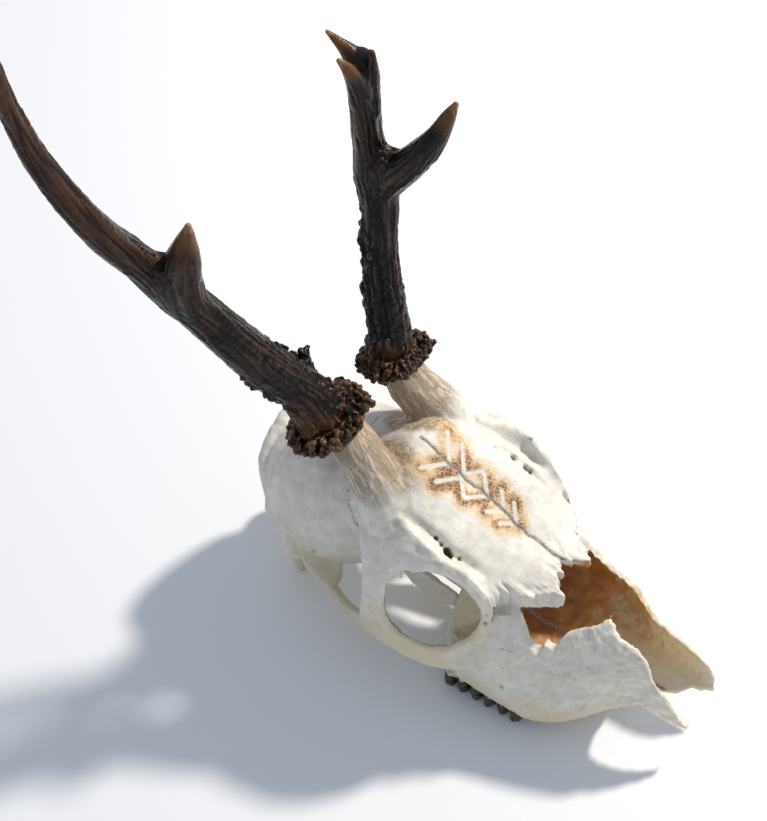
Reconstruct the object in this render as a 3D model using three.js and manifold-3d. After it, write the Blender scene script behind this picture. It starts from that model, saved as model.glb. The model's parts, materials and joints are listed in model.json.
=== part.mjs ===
// Skull of a roe buck with its antlers, without the lower jaw, at life size in millimetres.
// The nose points to -Y, the animal's right side to -X, and the teeth stand on z = 0.
// Places on the skull are written (x, f, z): f is the distance forward from the nuchal crest.
import * as THREE from 'three';
import { mergeVertices } from 'three/addons/utils/BufferGeometryUtils.js';
import Module from 'manifold-3d';

const wasm = await Module();
wasm.setup();

// Driving dimensions
const GAP = 0.3;
const WELD = 1e-4;
const FAR = 400;

const RIM_THICK = 2.7;
const BAR_WIDE = 4.6;
const BAR_THICK = 2.0;
const ARCH_DEEP = 3.9;
const ARCH_THICK = 2.1;
const FORAMEN = { wide: 8.2, high: 7.8 };
const MOLARS = { first: 87.6, pitch: 10.9, count: 3, x: 27.6, lean: 0.1, top: 12 };
const SOCKETS = { first: 124.5, pitch: 7.6, count: 3, x: 26.6, lean: 3.6, radius: 2.6, deep: 14 };
const FLOOR = 0;

// Lines and lumps of the animal's left side, as (x, f, z); the right side mirrors them
const RIM_LINE = [[37.2, 63.4, 52], [35.8, 68, 67], [31.6, 79, 74.2], [29, 92, 70.6], [27.6, 101, 58],
  [30.6, 100.4, 43.4], [35.8, 93.4, 34.4], [39.8, 84, 31.6], [41.2, 73, 33.6], [40.2, 65.6, 40.6]];
const ARCH_LINE = [[25, 23, 33], [29.6, 31, 32.6], [34.6, 40, 32], [38.6, 49, 31.6], [40.8, 58, 31.8],
  [41.6, 67, 32], [41, 77, 30.4], [39, 87, 29], [35.6, 95, 29], [30, 103, 30]];
const BAR_LINE = [[26, 58, 76], [33.4, 60.6, 69], [37, 61.6, 57], [39.6, 62, 45], [41, 62, 34]];
const PEDICLE_LINE = [[20.6, 60, 74], [18.8, 52.6, 85], [17, 44.4, 94]];
const CREST_LINE = [[6, 0.4, 65.4], [16.4, 1.4, 59.6], [22.5, 7, 48], [26, 12, 38]];
const PROCESS_LINE = [[20, 14, 27], [20, 14.6, 14], [17.6, 15, -1.5]];
const PTERYGOID_LINE = [[7, 52, 24], [8.4, 66, 18], [9.6, 80, 19.6]];
const FORAMEN_LINE = [[0, -20, 28], [0, -6, 31], [0, 13, 33]];
const CONDYLE = { centre: [10.5, 1, 23], half: [6.2, 6, 8.5] };
const EAR_LOBE = { centre: [26.6, 19, 30], half: [4.6, 6, 7] };
const BULLA = { centre: [16, 24, 17.5], half: [6.5, 10, 7.5] };
const CREST_KNOB = { centre: [0, 1, 64], half: [9, 4, 5] };
const PALATE = { centre: [0, 118, 0], half: [17.5, 46, 13.5] };
const CHOANA = { centre: [0, 82, 9], half: [9.5, 15, 13] };
const ORBIT = { centre: [29.6, 82.8, 53], half: [17.4, 18.6, 19.4] };

// Cuts that part the skull
const CROWN_CUT = { f: 31, z: 91, slope: Math.PI / 6 };
const OCCIPUT_CUT = 8.5;
const FACE_CUT = 56.2;
const FACE_BACK = 84.6;
const CHEEK_CUT = 29.6;
const CHEEK_BACK_BOX = { f: [22, 60], z: [20, 38] };
const CHEEK_FORE_BOX = { f: [52, 96], z: 14 };
const PEDICLE_CUT = { f: 46, z: 92.5, slope: 0.62 };

const BONE = { color: 0xe9e4d8, roughness: 0.62, metalness: 0 };
const CREAM = { color: 0xdccfae, roughness: 0.6, metalness: 0 };
const HORN = { color: 0x2c1a12, roughness: 0.5, metalness: 0 };

// Cross-sections of the skull, from back to front. Each has its greatest half width, the height
// of that width, the heights of its crown and base, and how square its upper and lower halves are.
const VAULT = [
  { f: -2, wide: 15, at: 47, crown: 63, base: 30, upper: 2.6, lower: 2.2 },
  { f: 3, wide: 21, at: 45, crown: 68, base: 24, upper: 2.4, lower: 2.3 },
  { f: 12, wide: 27, at: 44, crown: 73.5, base: 19, upper: 2.15, lower: 2.6 },
  { f: 26, wide: 30, at: 46, crown: 79.5, base: 18.5, upper: 2.05, lower: 2.4 },
  { f: 40, wide: 29, at: 49, crown: 84, base: 20, upper: 2, lower: 2.2 },
  { f: 52, wide: 25, at: 52, crown: 88, base: 24, upper: 2, lower: 2 },
  { f: 62, wide: 20, at: 54, crown: 86, base: 26, upper: 2, lower: 2 },
  { f: 73, wide: 15, at: 52, crown: 78, base: 24, upper: 2, lower: 2 },
  { f: 84, wide: 12.5, at: 46, crown: 72, base: 20, upper: 2, lower: 2.4 },
  { f: 99, wide: 14, at: 40, crown: 64, base: 17, upper: 2, lower: 2.6 },
];
const FOREHEAD = [
  { f: 44, wide: 22, at: 72, crown: 85, base: 64, upper: 2, lower: 2 },
  { f: 52, wide: 27, at: 72, crown: 91, base: 64, upper: 1.8, lower: 2 },
  { f: 59, wide: 31.5, at: 71.5, crown: 93.2, base: 62, upper: 1.7, lower: 2 },
  { f: 66, wide: 35, at: 71, crown: 88.4, base: 60, upper: 1.7, lower: 2 },
  { f: 74, wide: 36, at: 71.5, crown: 82.8, base: 60, upper: 2.1, lower: 2 },
  { f: 82, wide: 34.4, at: 69.5, crown: 79.4, base: 58, upper: 2.5, lower: 2 },
  { f: 90, wide: 32, at: 66, crown: 75, base: 55, upper: 2.7, lower: 2 },
  { f: 98, wide: 28.5, at: 61, crown: 69.8, base: 50, upper: 2.4, lower: 2 },
  { f: 106, wide: 24, at: 57, crown: 65.4, base: 46, upper: 2, lower: 2 },
  { f: 114, wide: 20.8, at: 55, crown: 62.8, base: 44, upper: 2.1, lower: 2 },
  { f: 125, wide: 18.6, at: 52, crown: 60.4, base: 42, upper: 2.2, lower: 2 },
];
const FACE = [
  { f: 84, wide: 25, at: 22, crown: 42, base: 12, upper: 2, lower: 3 },
  { f: 92, wide: 34, at: 23, crown: 64, base: 8, upper: 2.3, lower: 4 },
  { f: 100, wide: 35, at: 21, crown: 66.5, base: 7.5, upper: 2.4, lower: 4.6 },
  { f: 110, wide: 35, at: 17, crown: 63, base: 7.5, upper: 2.05, lower: 5 },
  { f: 120, wide: 34.6, at: 13.5, crown: 60, base: 7.8, upper: 1.55, lower: 5 },
  { f: 129, wide: 32, at: 12.5, crown: 57, base: 8, upper: 1.55, lower: 4.6 },
  { f: 137, wide: 26.4, at: 13, crown: 54.5, base: 8.6, upper: 1.8, lower: 4 },
  { f: 142.5, wide: 21, at: 15, crown: 52.4, base: 9.6, upper: 2.2, lower: 3.4 },
  { f: 147.5, wide: 16.4, at: 17.5, crown: 50.4, base: 11.4, upper: 2.7, lower: 3 },
  { f: 156, wide: 13.8, at: 22, crown: 47, base: 12, upper: 3, lower: 3 },
  { f: 166, wide: 12.5, at: 21, crown: 43, base: 12, upper: 3, lower: 3 },
  { f: 177, wide: 10.8, at: 20, crown: 38, base: 12, upper: 3, lower: 3 },
];
const NASAL_CAVITY = [
  { f: 96, wide: 11, at: 40, crown: 58, base: 26, upper: 2, lower: 2 },
  { f: 102, wide: 20.5, at: 38, crown: 62.5, base: 20, upper: 2.2, lower: 2.4 },
  { f: 110, wide: 26, at: 32, crown: 60.6, base: 17.5, upper: 2, lower: 2.6 },
  { f: 120, wide: 26, at: 25, crown: 58, base: 16.8, upper: 1.6, lower: 2.8 },
  { f: 129, wide: 24.6, at: 21, crown: 56, base: 16.4, upper: 1.65, lower: 2.8 },
  { f: 137, wide: 21, at: 19, crown: 53.6, base: 15.8, upper: 1.9, lower: 2.8 },
  { f: 142.5, wide: 17.6, at: 19, crown: 51.6, base: 15, upper: 2.2, lower: 2.8 },
  { f: 147.5, wide: 14.2, at: 20, crown: 49.6, base: 14.6, upper: 2.6, lower: 2.8 },
  { f: 156, wide: 12.2, at: 22, crown: 46.8, base: 14, upper: 3, lower: 2.8 },
  { f: 166, wide: 10.9, at: 21, crown: 42.8, base: 14, upper: 3, lower: 2.8 },
  { f: 181, wide: 9, at: 20, crown: 37.8, base: 13.8, upper: 3, lower: 2.8 },
];

// Broken upper edge of each side wall of the snout, as (f, z) seen from the side
const RIGHT_EDGE = [
  [99, 57.5], [104, 56.2], [111, 51], [116, 43], [119.6, 40], [121, 43.5], [123.5, 42], [126, 46.5],
  [129, 48.6], [133, 50], [137, 52.3], [140, 50.4], [144, 48], [149, 46.6], [152, 45], [156, 41.4],
  [158, 37], [160.5, 33.6], [163, 31.6], [166, 27.6], [169, 22], [170.5, 20.6], [173.4, 15.4],
];
const LEFT_EDGE = [
  [104, 57.5], [110, 57], [114, 52], [118, 47], [123, 42.6], [128, 39.4], [133, 35], [139, 32],
  [146, 30.6], [153, 30.4], [160, 29.6], [165, 28], [170, 24.6], [173.5, 20], [174.6, 17], [175.6, 11],
];
const RIGHT_KEEL = [[146, 6], [148.5, 15], [152, 19.2], [156, 20.4], [161, 20], [166, 18.4], [173.4, 15]];
const LEFT_SHELF = [[-1, 158], [0.6, 160.6], [2.4, 164], [6.4, 167.4], [8.9, 175.4]];
// Broken front edge of the frontal bones, as (x, f) seen from above
const FRONTAL_EDGE = [
  [-24, 102], [-20, 105.5], [-17, 111.5], [-13, 117], [-10.2, 121.8], [-9, 117.4], [-7, 118.8],
  [-5.4, 115.4], [-3.8, 118.2], [-1, 114], [3, 118], [7, 121.8], [9, 119.8], [11, 116], [17, 112],
  [21, 109], [25, 104],
];

// Outline that takes away everything in front of that edge, and how far down it reaches on the snout
const BEFORE_FRONTALS = [[60, 104], [60, 200], [-60, 200], [-60, 102]];
const FRONTAL_EAVES = 53.5;
const ABOVE_SKULL = 99;

// Antlers: points along the middle of each length with the radius there
const RIGHT_BURR = { x: -16.4, f: 32.6, z: 105.5, radius: 14.2 };
const LEFT_BURR = { x: 15.9, f: 36.8, z: 107, radius: 12.4 };
const BURR_HEIGHT = 4.4;
const BURR_KNOBS = 15;
const LOWER_RIGHT = [[-16.4, 32.6, 103, 7.8], [-20.8, 24.6, 120, 8.2], [-28, 15.8, 135, 8],
  [-33, 10.6, 147, 7.4],
  [-38.6, 3, 162, 6.6], [-43, -1.8, 172, 6.5]];
const UPPER_RIGHT = [[-43, -1.8, 172, 6.5], [-48.6, -8, 187, 5.6], [-55.6, -13.6, 202, 5],
  [-60, -20.6, 218, 4.4],
  [-62.6, -27, 236, 3.5], [-63.4, -30, 254, 2.7], [-63, -30.4, 270, 1.9], [-61.6, -28.4, 286, 0.8]];
const FRONT_TINE_RIGHT = [[-40.4, 1, 166.5, 6.2], [-42, 0.9, 173, 6.5], [-43.2, 2, 181, 6.4],
  [-43.3, 3.9, 189, 5.6],
  [-42.6, 5.2, 195, 4.1], [-42, 6.1, 199.8, 2.5], [-41.4, 6.9, 204.6, 0.8]];
const LOWER_LEFT = [[15.9, 37.8, 103, 7], [17.6, 35.6, 118, 6.7], [20.3, 31.4, 133, 6.3],
  [24.2, 27.5, 146.5, 6.1],
  [26, 26.3, 155.4, 6.1], [28, 25.2, 162.1, 6.5], [29.2, 23.8, 167.5, 6.8]];
const UPPER_LEFT = [[29.2, 23.8, 167.5, 6.8], [29.8, 21.5, 174.6, 6.2], [29.6, 20.8, 182, 5.6],
  [29, 20.3, 190.5, 5.1],
  [28, 20.4, 197.7, 4.7], [26.6, 20.5, 205.1, 4.3], [24.4, 20.5, 212.9, 3.4], [22, 19.7, 219.1, 2.3],
  [18.8, 17.9, 225, 0.7]];
const REAR_TINE_LEFT = [[29.6, 20, 191.5, 5], [30, 19.2, 204, 4.9], [29.8, 18.6, 215.2, 5],
  [29.4, 15.9, 218.1, 3.3],
  [29, 13.1, 220.6, 2.1], [28.4, 7.3, 224.6, 0.6]];
const CORNER_LEFT = [[29, 22.6, 199.6, 3], [29, 22.7, 214.3, 2.5], [29, 23.1, 222.9, 1.3]];
const FRONT_TINE_LEFT = [[29.6, 23.6, 167.9, 6.6], [29.4, 29.1, 175.4, 6], [29.4, 33.9, 181.8, 5.6],
  [29.6, 38.2, 187.9, 5], [30.2, 42, 194, 4.3], [31.4, 45.1, 200.3, 3.3], [33, 47, 205.8, 2.4],
  [35.6, 48.4, 210.4, 0.8]];
// Upright cut between the two points at the left antler's top
const TOP_CUT = { x: 26, f: 19, z: 213.5, halfHigh: 16, halfLong: 13 };

const at = (x, f, z) => new THREE.Vector3(x, -f, z);
const onSide = (side, line) => line.map(([x, f, z]) => at(side * x, f, z));
const UP = at(0, 0, 1);
const RIGHT_AXIS = at(-0.24, -0.42, 0.88).normalize();
const LEFT_AXIS = at(0.1, -0.3, 0.95).normalize();

// Repeatable random numbers between 0 and 1
function seeded(seed) {
  let state = seed;
  return () => {
    state = (state * 1664525 + 1013904223) % 4294967296;
    return state / 4294967296;
  };
}

// A closed mesh without seams becomes a solid, with its faces turned outward
function solid(geometry) {
  const bare = geometry.clone();
  bare.deleteAttribute('normal');
  bare.deleteAttribute('uv');
  const merged = mergeVertices(bare, WELD);
  const corners = Array.from(merged.index.array);
  const place = merged.attributes.position;
  const [a, b, c] = [new THREE.Vector3(), new THREE.Vector3(), new THREE.Vector3()];
  const faces = [];
  let volume = 0;
  for (let i = 0; i < corners.length; i += 3) {
    const [i0, i1, i2] = corners.slice(i, i + 3);
    if (i0 === i1 || i1 === i2 || i2 === i0) continue;
    faces.push([i0, i1, i2]);
    a.fromBufferAttribute(place, i0);
    b.fromBufferAttribute(place, i1);
    c.fromBufferAttribute(place, i2);
    volume += a.dot(b.cross(c));
  }
  const outward = volume > 0 ? faces : faces.map(([i0, i1, i2]) => [i0, i2, i1]);
  return new wasm.Manifold(new wasm.Mesh({
    numProp: 3,
    vertProperties: Float32Array.from(place.array),
    triVerts: Uint32Array.from(outward.flat()),
  }));
}

// A closed body through rings of points, each end shut by a fan round its own middle
function loft(rings, sides, point) {
  const body = new THREE.SphereGeometry(1, sides, rings + 1);
  const place = body.attributes.position;
  const middle = (ring) => {
    const sum = new THREE.Vector3();
    for (let side = 0; side < sides; side += 1) sum.add(point(ring / (rings - 1), side / sides));
    return sum.divideScalar(sides);
  };
  const ends = [middle(0), middle(rings - 1)];
  for (let row = 0; row <= rings + 1; row += 1) {
    for (let side = 0; side <= sides; side += 1) {
      let spot = point((row - 1) / (rings - 1), (side % sides) / sides);
      if (row === 0) spot = ends[0];
      if (row === rings + 1) spot = ends[1];
      place.setXYZ(row * (sides + 1) + side, spot.x, spot.y, spot.z);
    }
  }
  return solid(body);
}

// Value of one size of the cross-sections at a place along them, on a smooth curve
function sizeAlong(sections, key, f) {
  let i = 0;
  while (i < sections.length - 2 && f > sections[i + 1].f) i += 1;
  const rise = (j) => {
    const before = sections[Math.max(j - 1, 0)];
    const after = sections[Math.min(j + 1, sections.length - 1)];
    return (after[key] - before[key]) / (after.f - before.f);
  };
  const [from, to] = [sections[i], sections[i + 1]];
  const span = to.f - from.f;
  const t = (f - from.f) / span;
  const [t2, t3] = [t * t, t * t * t];
  return (2 * t3 - 3 * t2 + 1) * from[key] + (t3 - 2 * t2 + t) * span * rise(i)
    + (3 * t2 - 2 * t3) * to[key] + (t3 - t2) * span * rise(i + 1);
}

// Body whose cross-sections stand along the skull
function sectioned(sections, rings, sides) {
  const first = sections[0].f;
  const last = sections[sections.length - 1].f;
  const power = (value, exponent) => Math.sign(value) * Math.abs(value) ** exponent;
  return loft(rings, sides, (along, turn) => {
    const f = first + (last - first) * along;
    const size = (key) => sizeAlong(sections, key, f);
    const angle = turn * 2 * Math.PI;
    const isUpper = Math.sin(angle) >= 0;
    const squareness = 2 / size(isUpper ? 'upper' : 'lower');
    const height = isUpper ? size('crown') - size('at') : size('at') - size('base');
    const x = size('wide') * power(Math.cos(angle), squareness);
    return at(x, f, size('at') + height * power(Math.sin(angle), squareness));
  });
}

// Body swept along points, with its section's first half width lying along a given direction
function swept(points, rings, sides, section, lie = UP) {
  const curve = new THREE.CatmullRomCurve3(points, false, 'centripetal');
  return loft(rings, sides, (along, turn) => {
    const t = Math.min(Math.max(along, 0), 1);
    const ahead = curve.getTangentAt(t);
    const across = new THREE.Vector3().crossVectors(ahead, lie).normalize();
    const upward = new THREE.Vector3().crossVectors(across, ahead).normalize();
    const angle = turn * 2 * Math.PI;
    const [high, wide] = section(t, angle);
    return curve.getPointAt(t)
      .addScaledVector(upward, Math.sin(angle) * high)
      .addScaledVector(across, Math.cos(angle) * wide);
  });
}

// Closed rim swept round a loop of points
function rimmed(points, rings, sides, section, lie) {
  const curve = new THREE.CatmullRomCurve3(points, true, 'centripetal');
  const ring = new THREE.TorusGeometry(1, 0.2, sides, rings);
  const place = ring.attributes.position;
  for (let side = 0; side <= sides; side += 1) {
    for (let step = 0; step <= rings; step += 1) {
      const t = (step % rings) / rings;
      const ahead = curve.getTangentAt(t);
      const across = new THREE.Vector3().crossVectors(ahead, lie).normalize();
      const angle = ((side % sides) / sides) * 2 * Math.PI;
      const [high, wide] = section(t);
      const spot = curve.getPointAt(t)
        .addScaledVector(lie, Math.sin(angle) * high)
        .addScaledVector(across, Math.cos(angle) * wide);
      place.setXYZ(side * (rings + 1) + step, spot.x, spot.y, spot.z);
    }
  }
  return solid(ring);
}

function ellipsoid(centre, [rx, ry, rz], sides = 16, rows = 10) {
  const ball = new THREE.SphereGeometry(1, sides, rows);
  ball.rotateX(Math.PI / 2);
  ball.scale(rx, ry, rz);
  ball.translate(centre.x, centre.y, centre.z);
  return solid(ball);
}

// Flat outline pushed through the skull: across it (seen from the side) or down it (from above)
function cutAcross(outline, fromX, toX) {
  const shape = new THREE.Shape(outline.map(([f, z]) => new THREE.Vector2(-f, z)));
  const slab = new THREE.ExtrudeGeometry(shape, { depth: toX - fromX, bevelEnabled: false });
  slab.applyMatrix4(new THREE.Matrix4().makeBasis(at(0, -1, 0), UP, at(1, 0, 0)));
  slab.translate(fromX, 0, 0);
  return solid(slab);
}
function cutDown(outline, fromZ, toZ) {
  const shape = new THREE.Shape(outline.map(([x, f]) => new THREE.Vector2(x, -f)));
  const slab = new THREE.ExtrudeGeometry(shape, { depth: toZ - fromZ, bevelEnabled: false });
  slab.translate(0, 0, fromZ);
  return solid(slab);
}

// Everything on the side of a plane to which the normal points
function beyond(point, normal) {
  const block = new THREE.BoxGeometry(FAR, FAR, FAR);
  block.translate(0, 0, FAR / 2);
  block.applyQuaternion(new THREE.Quaternion().setFromUnitVectors(UP, normal.clone().normalize()));
  block.translate(point.x, point.y, point.z);
  return solid(block);
}

function box([x0, x1], [f0, f1], [z0, z1]) {
  const block = new THREE.BoxGeometry(x1 - x0, f1 - f0, z1 - z0);
  block.translate((x0 + x1) / 2, -(f0 + f1) / 2, (z0 + z1) / 2);
  return solid(block);
}

const joined = (bodies) => bodies.reduce((whole, body) => whole.add(body));

const largest = (body) => body.decompose().sort((a, b) => b.volume() - a.volume())[0];

const lump = (side, { centre, half }, sides, rows) => ellipsoid(onSide(side, [centre])[0], half, sides, rows);

// Braincase with the occipital condyles, ear region and the processes that it rests on
function braincase() {
  const parts = [sectioned(VAULT, 13, 20)];
  for (const side of [-1, 1]) {
    parts.push(lump(side, CONDYLE, 10, 6));
    parts.push(lump(side, EAR_LOBE, 10, 6));
    parts.push(lump(side, BULLA, 10, 6));
    parts.push(swept(onSide(side, PROCESS_LINE), 5, 8, (t) => [4.2 - 1.6 * t, 3.4 - 1.4 * t], at(1, 0, 0)));
    parts.push(swept(onSide(side, CREST_LINE), 7, 6, (t) => [2.6 - t, 2.2 - 0.6 * t], at(0, -1, 0)));
    parts.push(swept(onSide(side, PTERYGOID_LINE), 6, 6, (t) => [4 + 4 * Math.sin(Math.PI * t), 1.8]));
  }
  parts.push(lump(1, CREST_KNOB, 8, 6));
  return joined(parts);
}

// Direction that an orbit's rim faces
const rimLie = (side) => at(side * 0.937, 0.188, 0.293).normalize();

// Rim of the orbit, the bar behind it and the arch under it, which is deepest below the orbit
function orbitAndArch(side) {
  const archDeep = (t) => ARCH_DEEP * (0.8 + 0.75 * THREE.MathUtils.clamp((t - 0.35) / 0.3, 0, 1));
  return joined([
    rimmed(onSide(side, RIM_LINE), 22, 6, () => [RIM_THICK, RIM_THICK], rimLie(side)),
    swept(onSide(side, ARCH_LINE), 18, 6, (t) => [archDeep(t), ARCH_THICK * (1 + 0.3 * t)]),
    swept(onSide(side, BAR_LINE), 8, 8, (t) => [BAR_WIDE * (1 + 0.9 * (1 - t) ** 3), BAR_THICK], at(0, 1, 0)),
  ]);
}

function pedicle(side) {
  const top = side < 0 ? RIGHT_BURR : LEFT_BURR;
  return swept([...onSide(side, PEDICLE_LINE), at(top.x, top.f, top.z)], 7, 12,
    (t, angle) => [11.4 - 4.4 * t ** 0.6 + 0.3 * Math.sin(3 * angle), 12 - 4.6 * t ** 0.6], at(0, 1, 0));
}

// Snout: an open trough between two broken walls on the palate
function snout() {
  const right = [...RIGHT_EDGE, [173.4, -20], [190, -20], [190, ABOVE_SKULL], [124, ABOVE_SKULL],
    [124, FACE_CUT], [106, FACE_CUT + 1]];
  const left = [...LEFT_EDGE, [175.6, -20], [190, -20], [190, ABOVE_SKULL], [124, ABOVE_SKULL],
    [124, FACE_CUT + 1.4]];
  const keel = [...RIGHT_KEEL, [173.4, -20], [146, -20]];
  const shelf = [...LEFT_SHELF, [8.9, 190], [-1, 190]];
  return sectioned(FACE, 19, 22)
    .subtract(sectioned(NASAL_CAVITY, 13, 16))
    .subtract(cutAcross(right, -60, 0))
    .subtract(cutAcross(left, 0, 60))
    .subtract(cutAcross(keel, -60, 0))
    .subtract(cutDown(shelf, -20, 30))
    .subtract(lump(1, PALATE, 14, 8))
    .subtract(lump(1, CHOANA, 12, 8))
    .subtract(cutDown([...FRONTAL_EDGE, ...BEFORE_FRONTALS], FRONTAL_EAVES, ABOVE_SKULL));
}

function frontals() {
  const edge = cutDown([...FRONTAL_EDGE, ...BEFORE_FRONTALS], FLOOR, ABOVE_SKULL);
  return sectioned(FOREHEAD, 16, 20).subtract(edge).subtract(sectioned(NASAL_CAVITY, 13, 16));
}

// Three molars on each side, each with two pairs of cusps
function molars(side) {
  const cusps = [];
  for (let tooth = 0; tooth < MOLARS.count; tooth += 1) {
    for (const lobe of [0, 1]) {
      const f = MOLARS.first + MOLARS.pitch * (tooth + 0.25 + 0.48 * lobe);
      const x = MOLARS.x - MOLARS.lean * tooth;
      const root = at(side * x, f, MOLARS.top);
      const tip = at(side * (x + 0.4), f + 0.6, FLOOR - 1);
      const line = [root, root.clone().lerp(tip, 0.5), tip];
      cusps.push(swept(line, 3, 8, (t) => [3.3 - 0.5 * t, 6.6 - t], at(0, 1, 0)));
    }
  }
  return joined(cusps);
}

function sockets(side) {
  const pits = [];
  for (let tooth = 0; tooth < SOCKETS.count; tooth += 1) {
    const f = SOCKETS.first + SOCKETS.pitch * tooth;
    const x = SOCKETS.x - SOCKETS.lean * tooth;
    const mouth = at(side * x, f, 3);
    const bottom = at(side * (x - 1), f, SOCKETS.deep);
    pits.push(swept([mouth, mouth.clone().lerp(bottom, 0.5), bottom], 4, 8,
      (t) => [SOCKETS.radius * (1.15 - 0.6 * t), SOCKETS.radius * (1.3 - 0.6 * t)], at(0, 1, 0)));
  }
  return joined(pits);
}

function skull() {
  const eye = (side) => lump(side, ORBIT, 16, 10);
  const below = box([-FAR, FAR], [-FAR, FAR], [-FAR, FLOOR]);
  const foramen = swept(onSide(1, FORAMEN_LINE), 6, 16, () => [FORAMEN.high, FORAMEN.wide]);
  const solidBone = joined([
    braincase(),
    frontals().subtract(eye(-1)).subtract(eye(1)),
    snout().subtract(eye(-1)).subtract(eye(1)),
    orbitAndArch(-1),
    orbitAndArch(1),
    pedicle(-1),
    pedicle(1),
    molars(-1),
    molars(1),
  ]);
  return solidBone.subtract(foramen).subtract(sockets(-1)).subtract(sockets(1)).subtract(below);
}

// The skull is parted into its bones by thin flat cuts
function skullNodes() {
  const whole = skull();
  const half = GAP / 2;
  const crownPoint = (offset) => at(0, CROWN_CUT.f + offset * Math.cos(CROWN_CUT.slope),
    CROWN_CUT.z + offset * Math.sin(CROWN_CUT.slope));
  const crownNormal = at(0, Math.cos(CROWN_CUT.slope), Math.sin(CROWN_CUT.slope));
  const front = beyond(crownPoint(half), crownNormal);
  const back = beyond(crownPoint(-half), crownNormal.clone().negate());
  const shaftNormal = at(0, -Math.sin(PEDICLE_CUT.slope), Math.cos(PEDICLE_CUT.slope));
  const shaftPoint = (offset) => at(0, PEDICLE_CUT.f - offset * Math.sin(PEDICLE_CUT.slope),
    PEDICLE_CUT.z + offset * Math.cos(PEDICLE_CUT.slope));
  const overPedicleCut = beyond(shaftPoint(half), shaftNormal);
  const underPedicleCut = beyond(shaftPoint(-half), shaftNormal.clone().negate());
  const cheek = (side, grow) => {
    const [back, fore] = [CHEEK_BACK_BOX, CHEEK_FORE_BOX];
    const inner = side * (CHEEK_CUT - grow);
    const xs = side > 0 ? [inner, FAR] : [-FAR, inner];
    return joined([
      box(xs, [back.f[0] - grow, back.f[1]], [back.z[0] - grow, back.z[1] + grow]),
      box(xs, [fore.f[0] - grow, fore.f[1] + grow], [fore.z - grow, FACE_CUT - half]),
    ]);
  };
  const cheeks = joined([cheek(-1, half), cheek(1, half)]);
  const upper = box([-FAR, FAR], [-FAR, FAR], [FACE_CUT + half, FAR]);
  const behindFace = box([-FAR, FAR], [OCCIPUT_CUT + half, FACE_BACK - half], [-FAR, FACE_CUT - half]);
  const rear = back.intersect(box([-FAR, FAR], [OCCIPUT_CUT + half, FAR], [-FAR, FAR]));
  const fore = whole.intersect(front).intersect(upper);
  const faceHalf = (side) => whole
    .intersect(box(side > 0 ? [half, FAR] : [-FAR, -half], [FACE_BACK + half, FAR], [-FAR, FACE_CUT - half]))
    .subtract(cheeks);
  const nodes = {
    occiput: whole.intersect(box([-FAR, FAR], [-FAR, OCCIPUT_CUT - half], [-FAR, FAR])),
    braincase: whole.intersect(rear.add(behindFace)).subtract(cheeks),
    frontal_bones: fore.intersect(underPedicleCut),
    zygomatic_arch_right: whole.intersect(cheek(-1, -half)),
    zygomatic_arch_left: whole.intersect(cheek(1, -half)),
    maxilla_right: faceHalf(-1),
    maxilla_left: faceHalf(1),
  };
  const antlers = { right: [-1, RIGHT_BURR, RIGHT_AXIS], left: [1, LEFT_BURR, LEFT_AXIS] };
  for (const [name, [side, burr, axis]] of Object.entries(antlers)) {
    const seat = at(burr.x, burr.f, burr.z).addScaledVector(axis, -BURR_HEIGHT - GAP);
    const stub = fore.intersect(overPedicleCut)
      .intersect(box(side > 0 ? [half, FAR] : [-FAR, -half], [-FAR, FAR], [-FAR, FAR]));
    nodes[`pedicle_${name}`] = stub.subtract(beyond(seat, axis));
  }
  return nodes;
}

// Antler length swept with long furrows and a slight wave
function antlerLength(points, rings, seed) {
  const random = seeded(seed);
  const phase = [random(), random(), random()].map((value) => value * 2 * Math.PI);
  const middles = onSide(1, points);
  const reached = [0];
  for (let i = 1; i < points.length; i += 1) {
    reached.push(reached[i - 1] + middles[i].distanceTo(middles[i - 1]));
  }
  const radiusAt = (t) => {
    const place = t * reached[reached.length - 1];
    let i = 0;
    while (i < points.length - 2 && place > reached[i + 1]) i += 1;
    const share = (place - reached[i]) / (reached[i + 1] - reached[i]);
    return THREE.MathUtils.lerp(points[i][3], points[i + 1][3], share);
  };
  return swept(middles, rings, 10, (t, angle) => {
    const furrow = 1 + 0.05 * Math.sin(3 * angle + phase[0] + 2 * t)
      + 0.04 * Math.sin(5 * angle + phase[1] - t);
    const size = radiusAt(t) * furrow * (1 + 0.02 * Math.sin(9 * t + phase[2]));
    return [size, size];
  }, at(0, 1, 0));
}

function knob(centre, size, turn, detail) {
  const grain = new THREE.IcosahedronGeometry(size, detail);
  grain.rotateX(turn);
  grain.rotateZ(turn * 2.3);
  grain.translate(centre.x, centre.y, centre.z);
  return solid(grain);
}

// Pearls: small rounded grains that stand on the lower length of a beam
function pearls(points, count, reach, favoured, seed) {
  const random = seeded(seed);
  const curve = middleLine(points);
  const grains = [];
  for (let i = 0; i < count; i += 1) {
    const t = 0.2 + reach * (i / count) ** 1.3;
    const ahead = curve.getTangentAt(Math.min(t, 1));
    const turn = (random() - 0.5) * 2 * Math.PI * (i % 3 === 0 ? 1 : 0.32);
    const outward = favoured.clone().projectOnPlane(ahead).normalize().applyAxisAngle(ahead, turn);
    const size = 1.5 + 1.3 * random() * (1 - 0.5 * i / count);
    const radius = points[1][3] * (1 - 0.12 * t);
    const place = curve.getPointAt(Math.min(t, 1)).addScaledVector(outward, radius - 0.1);
    grains.push(knob(place, size, random() * 3, 0));
  }
  return joined(grains);
}

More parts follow.
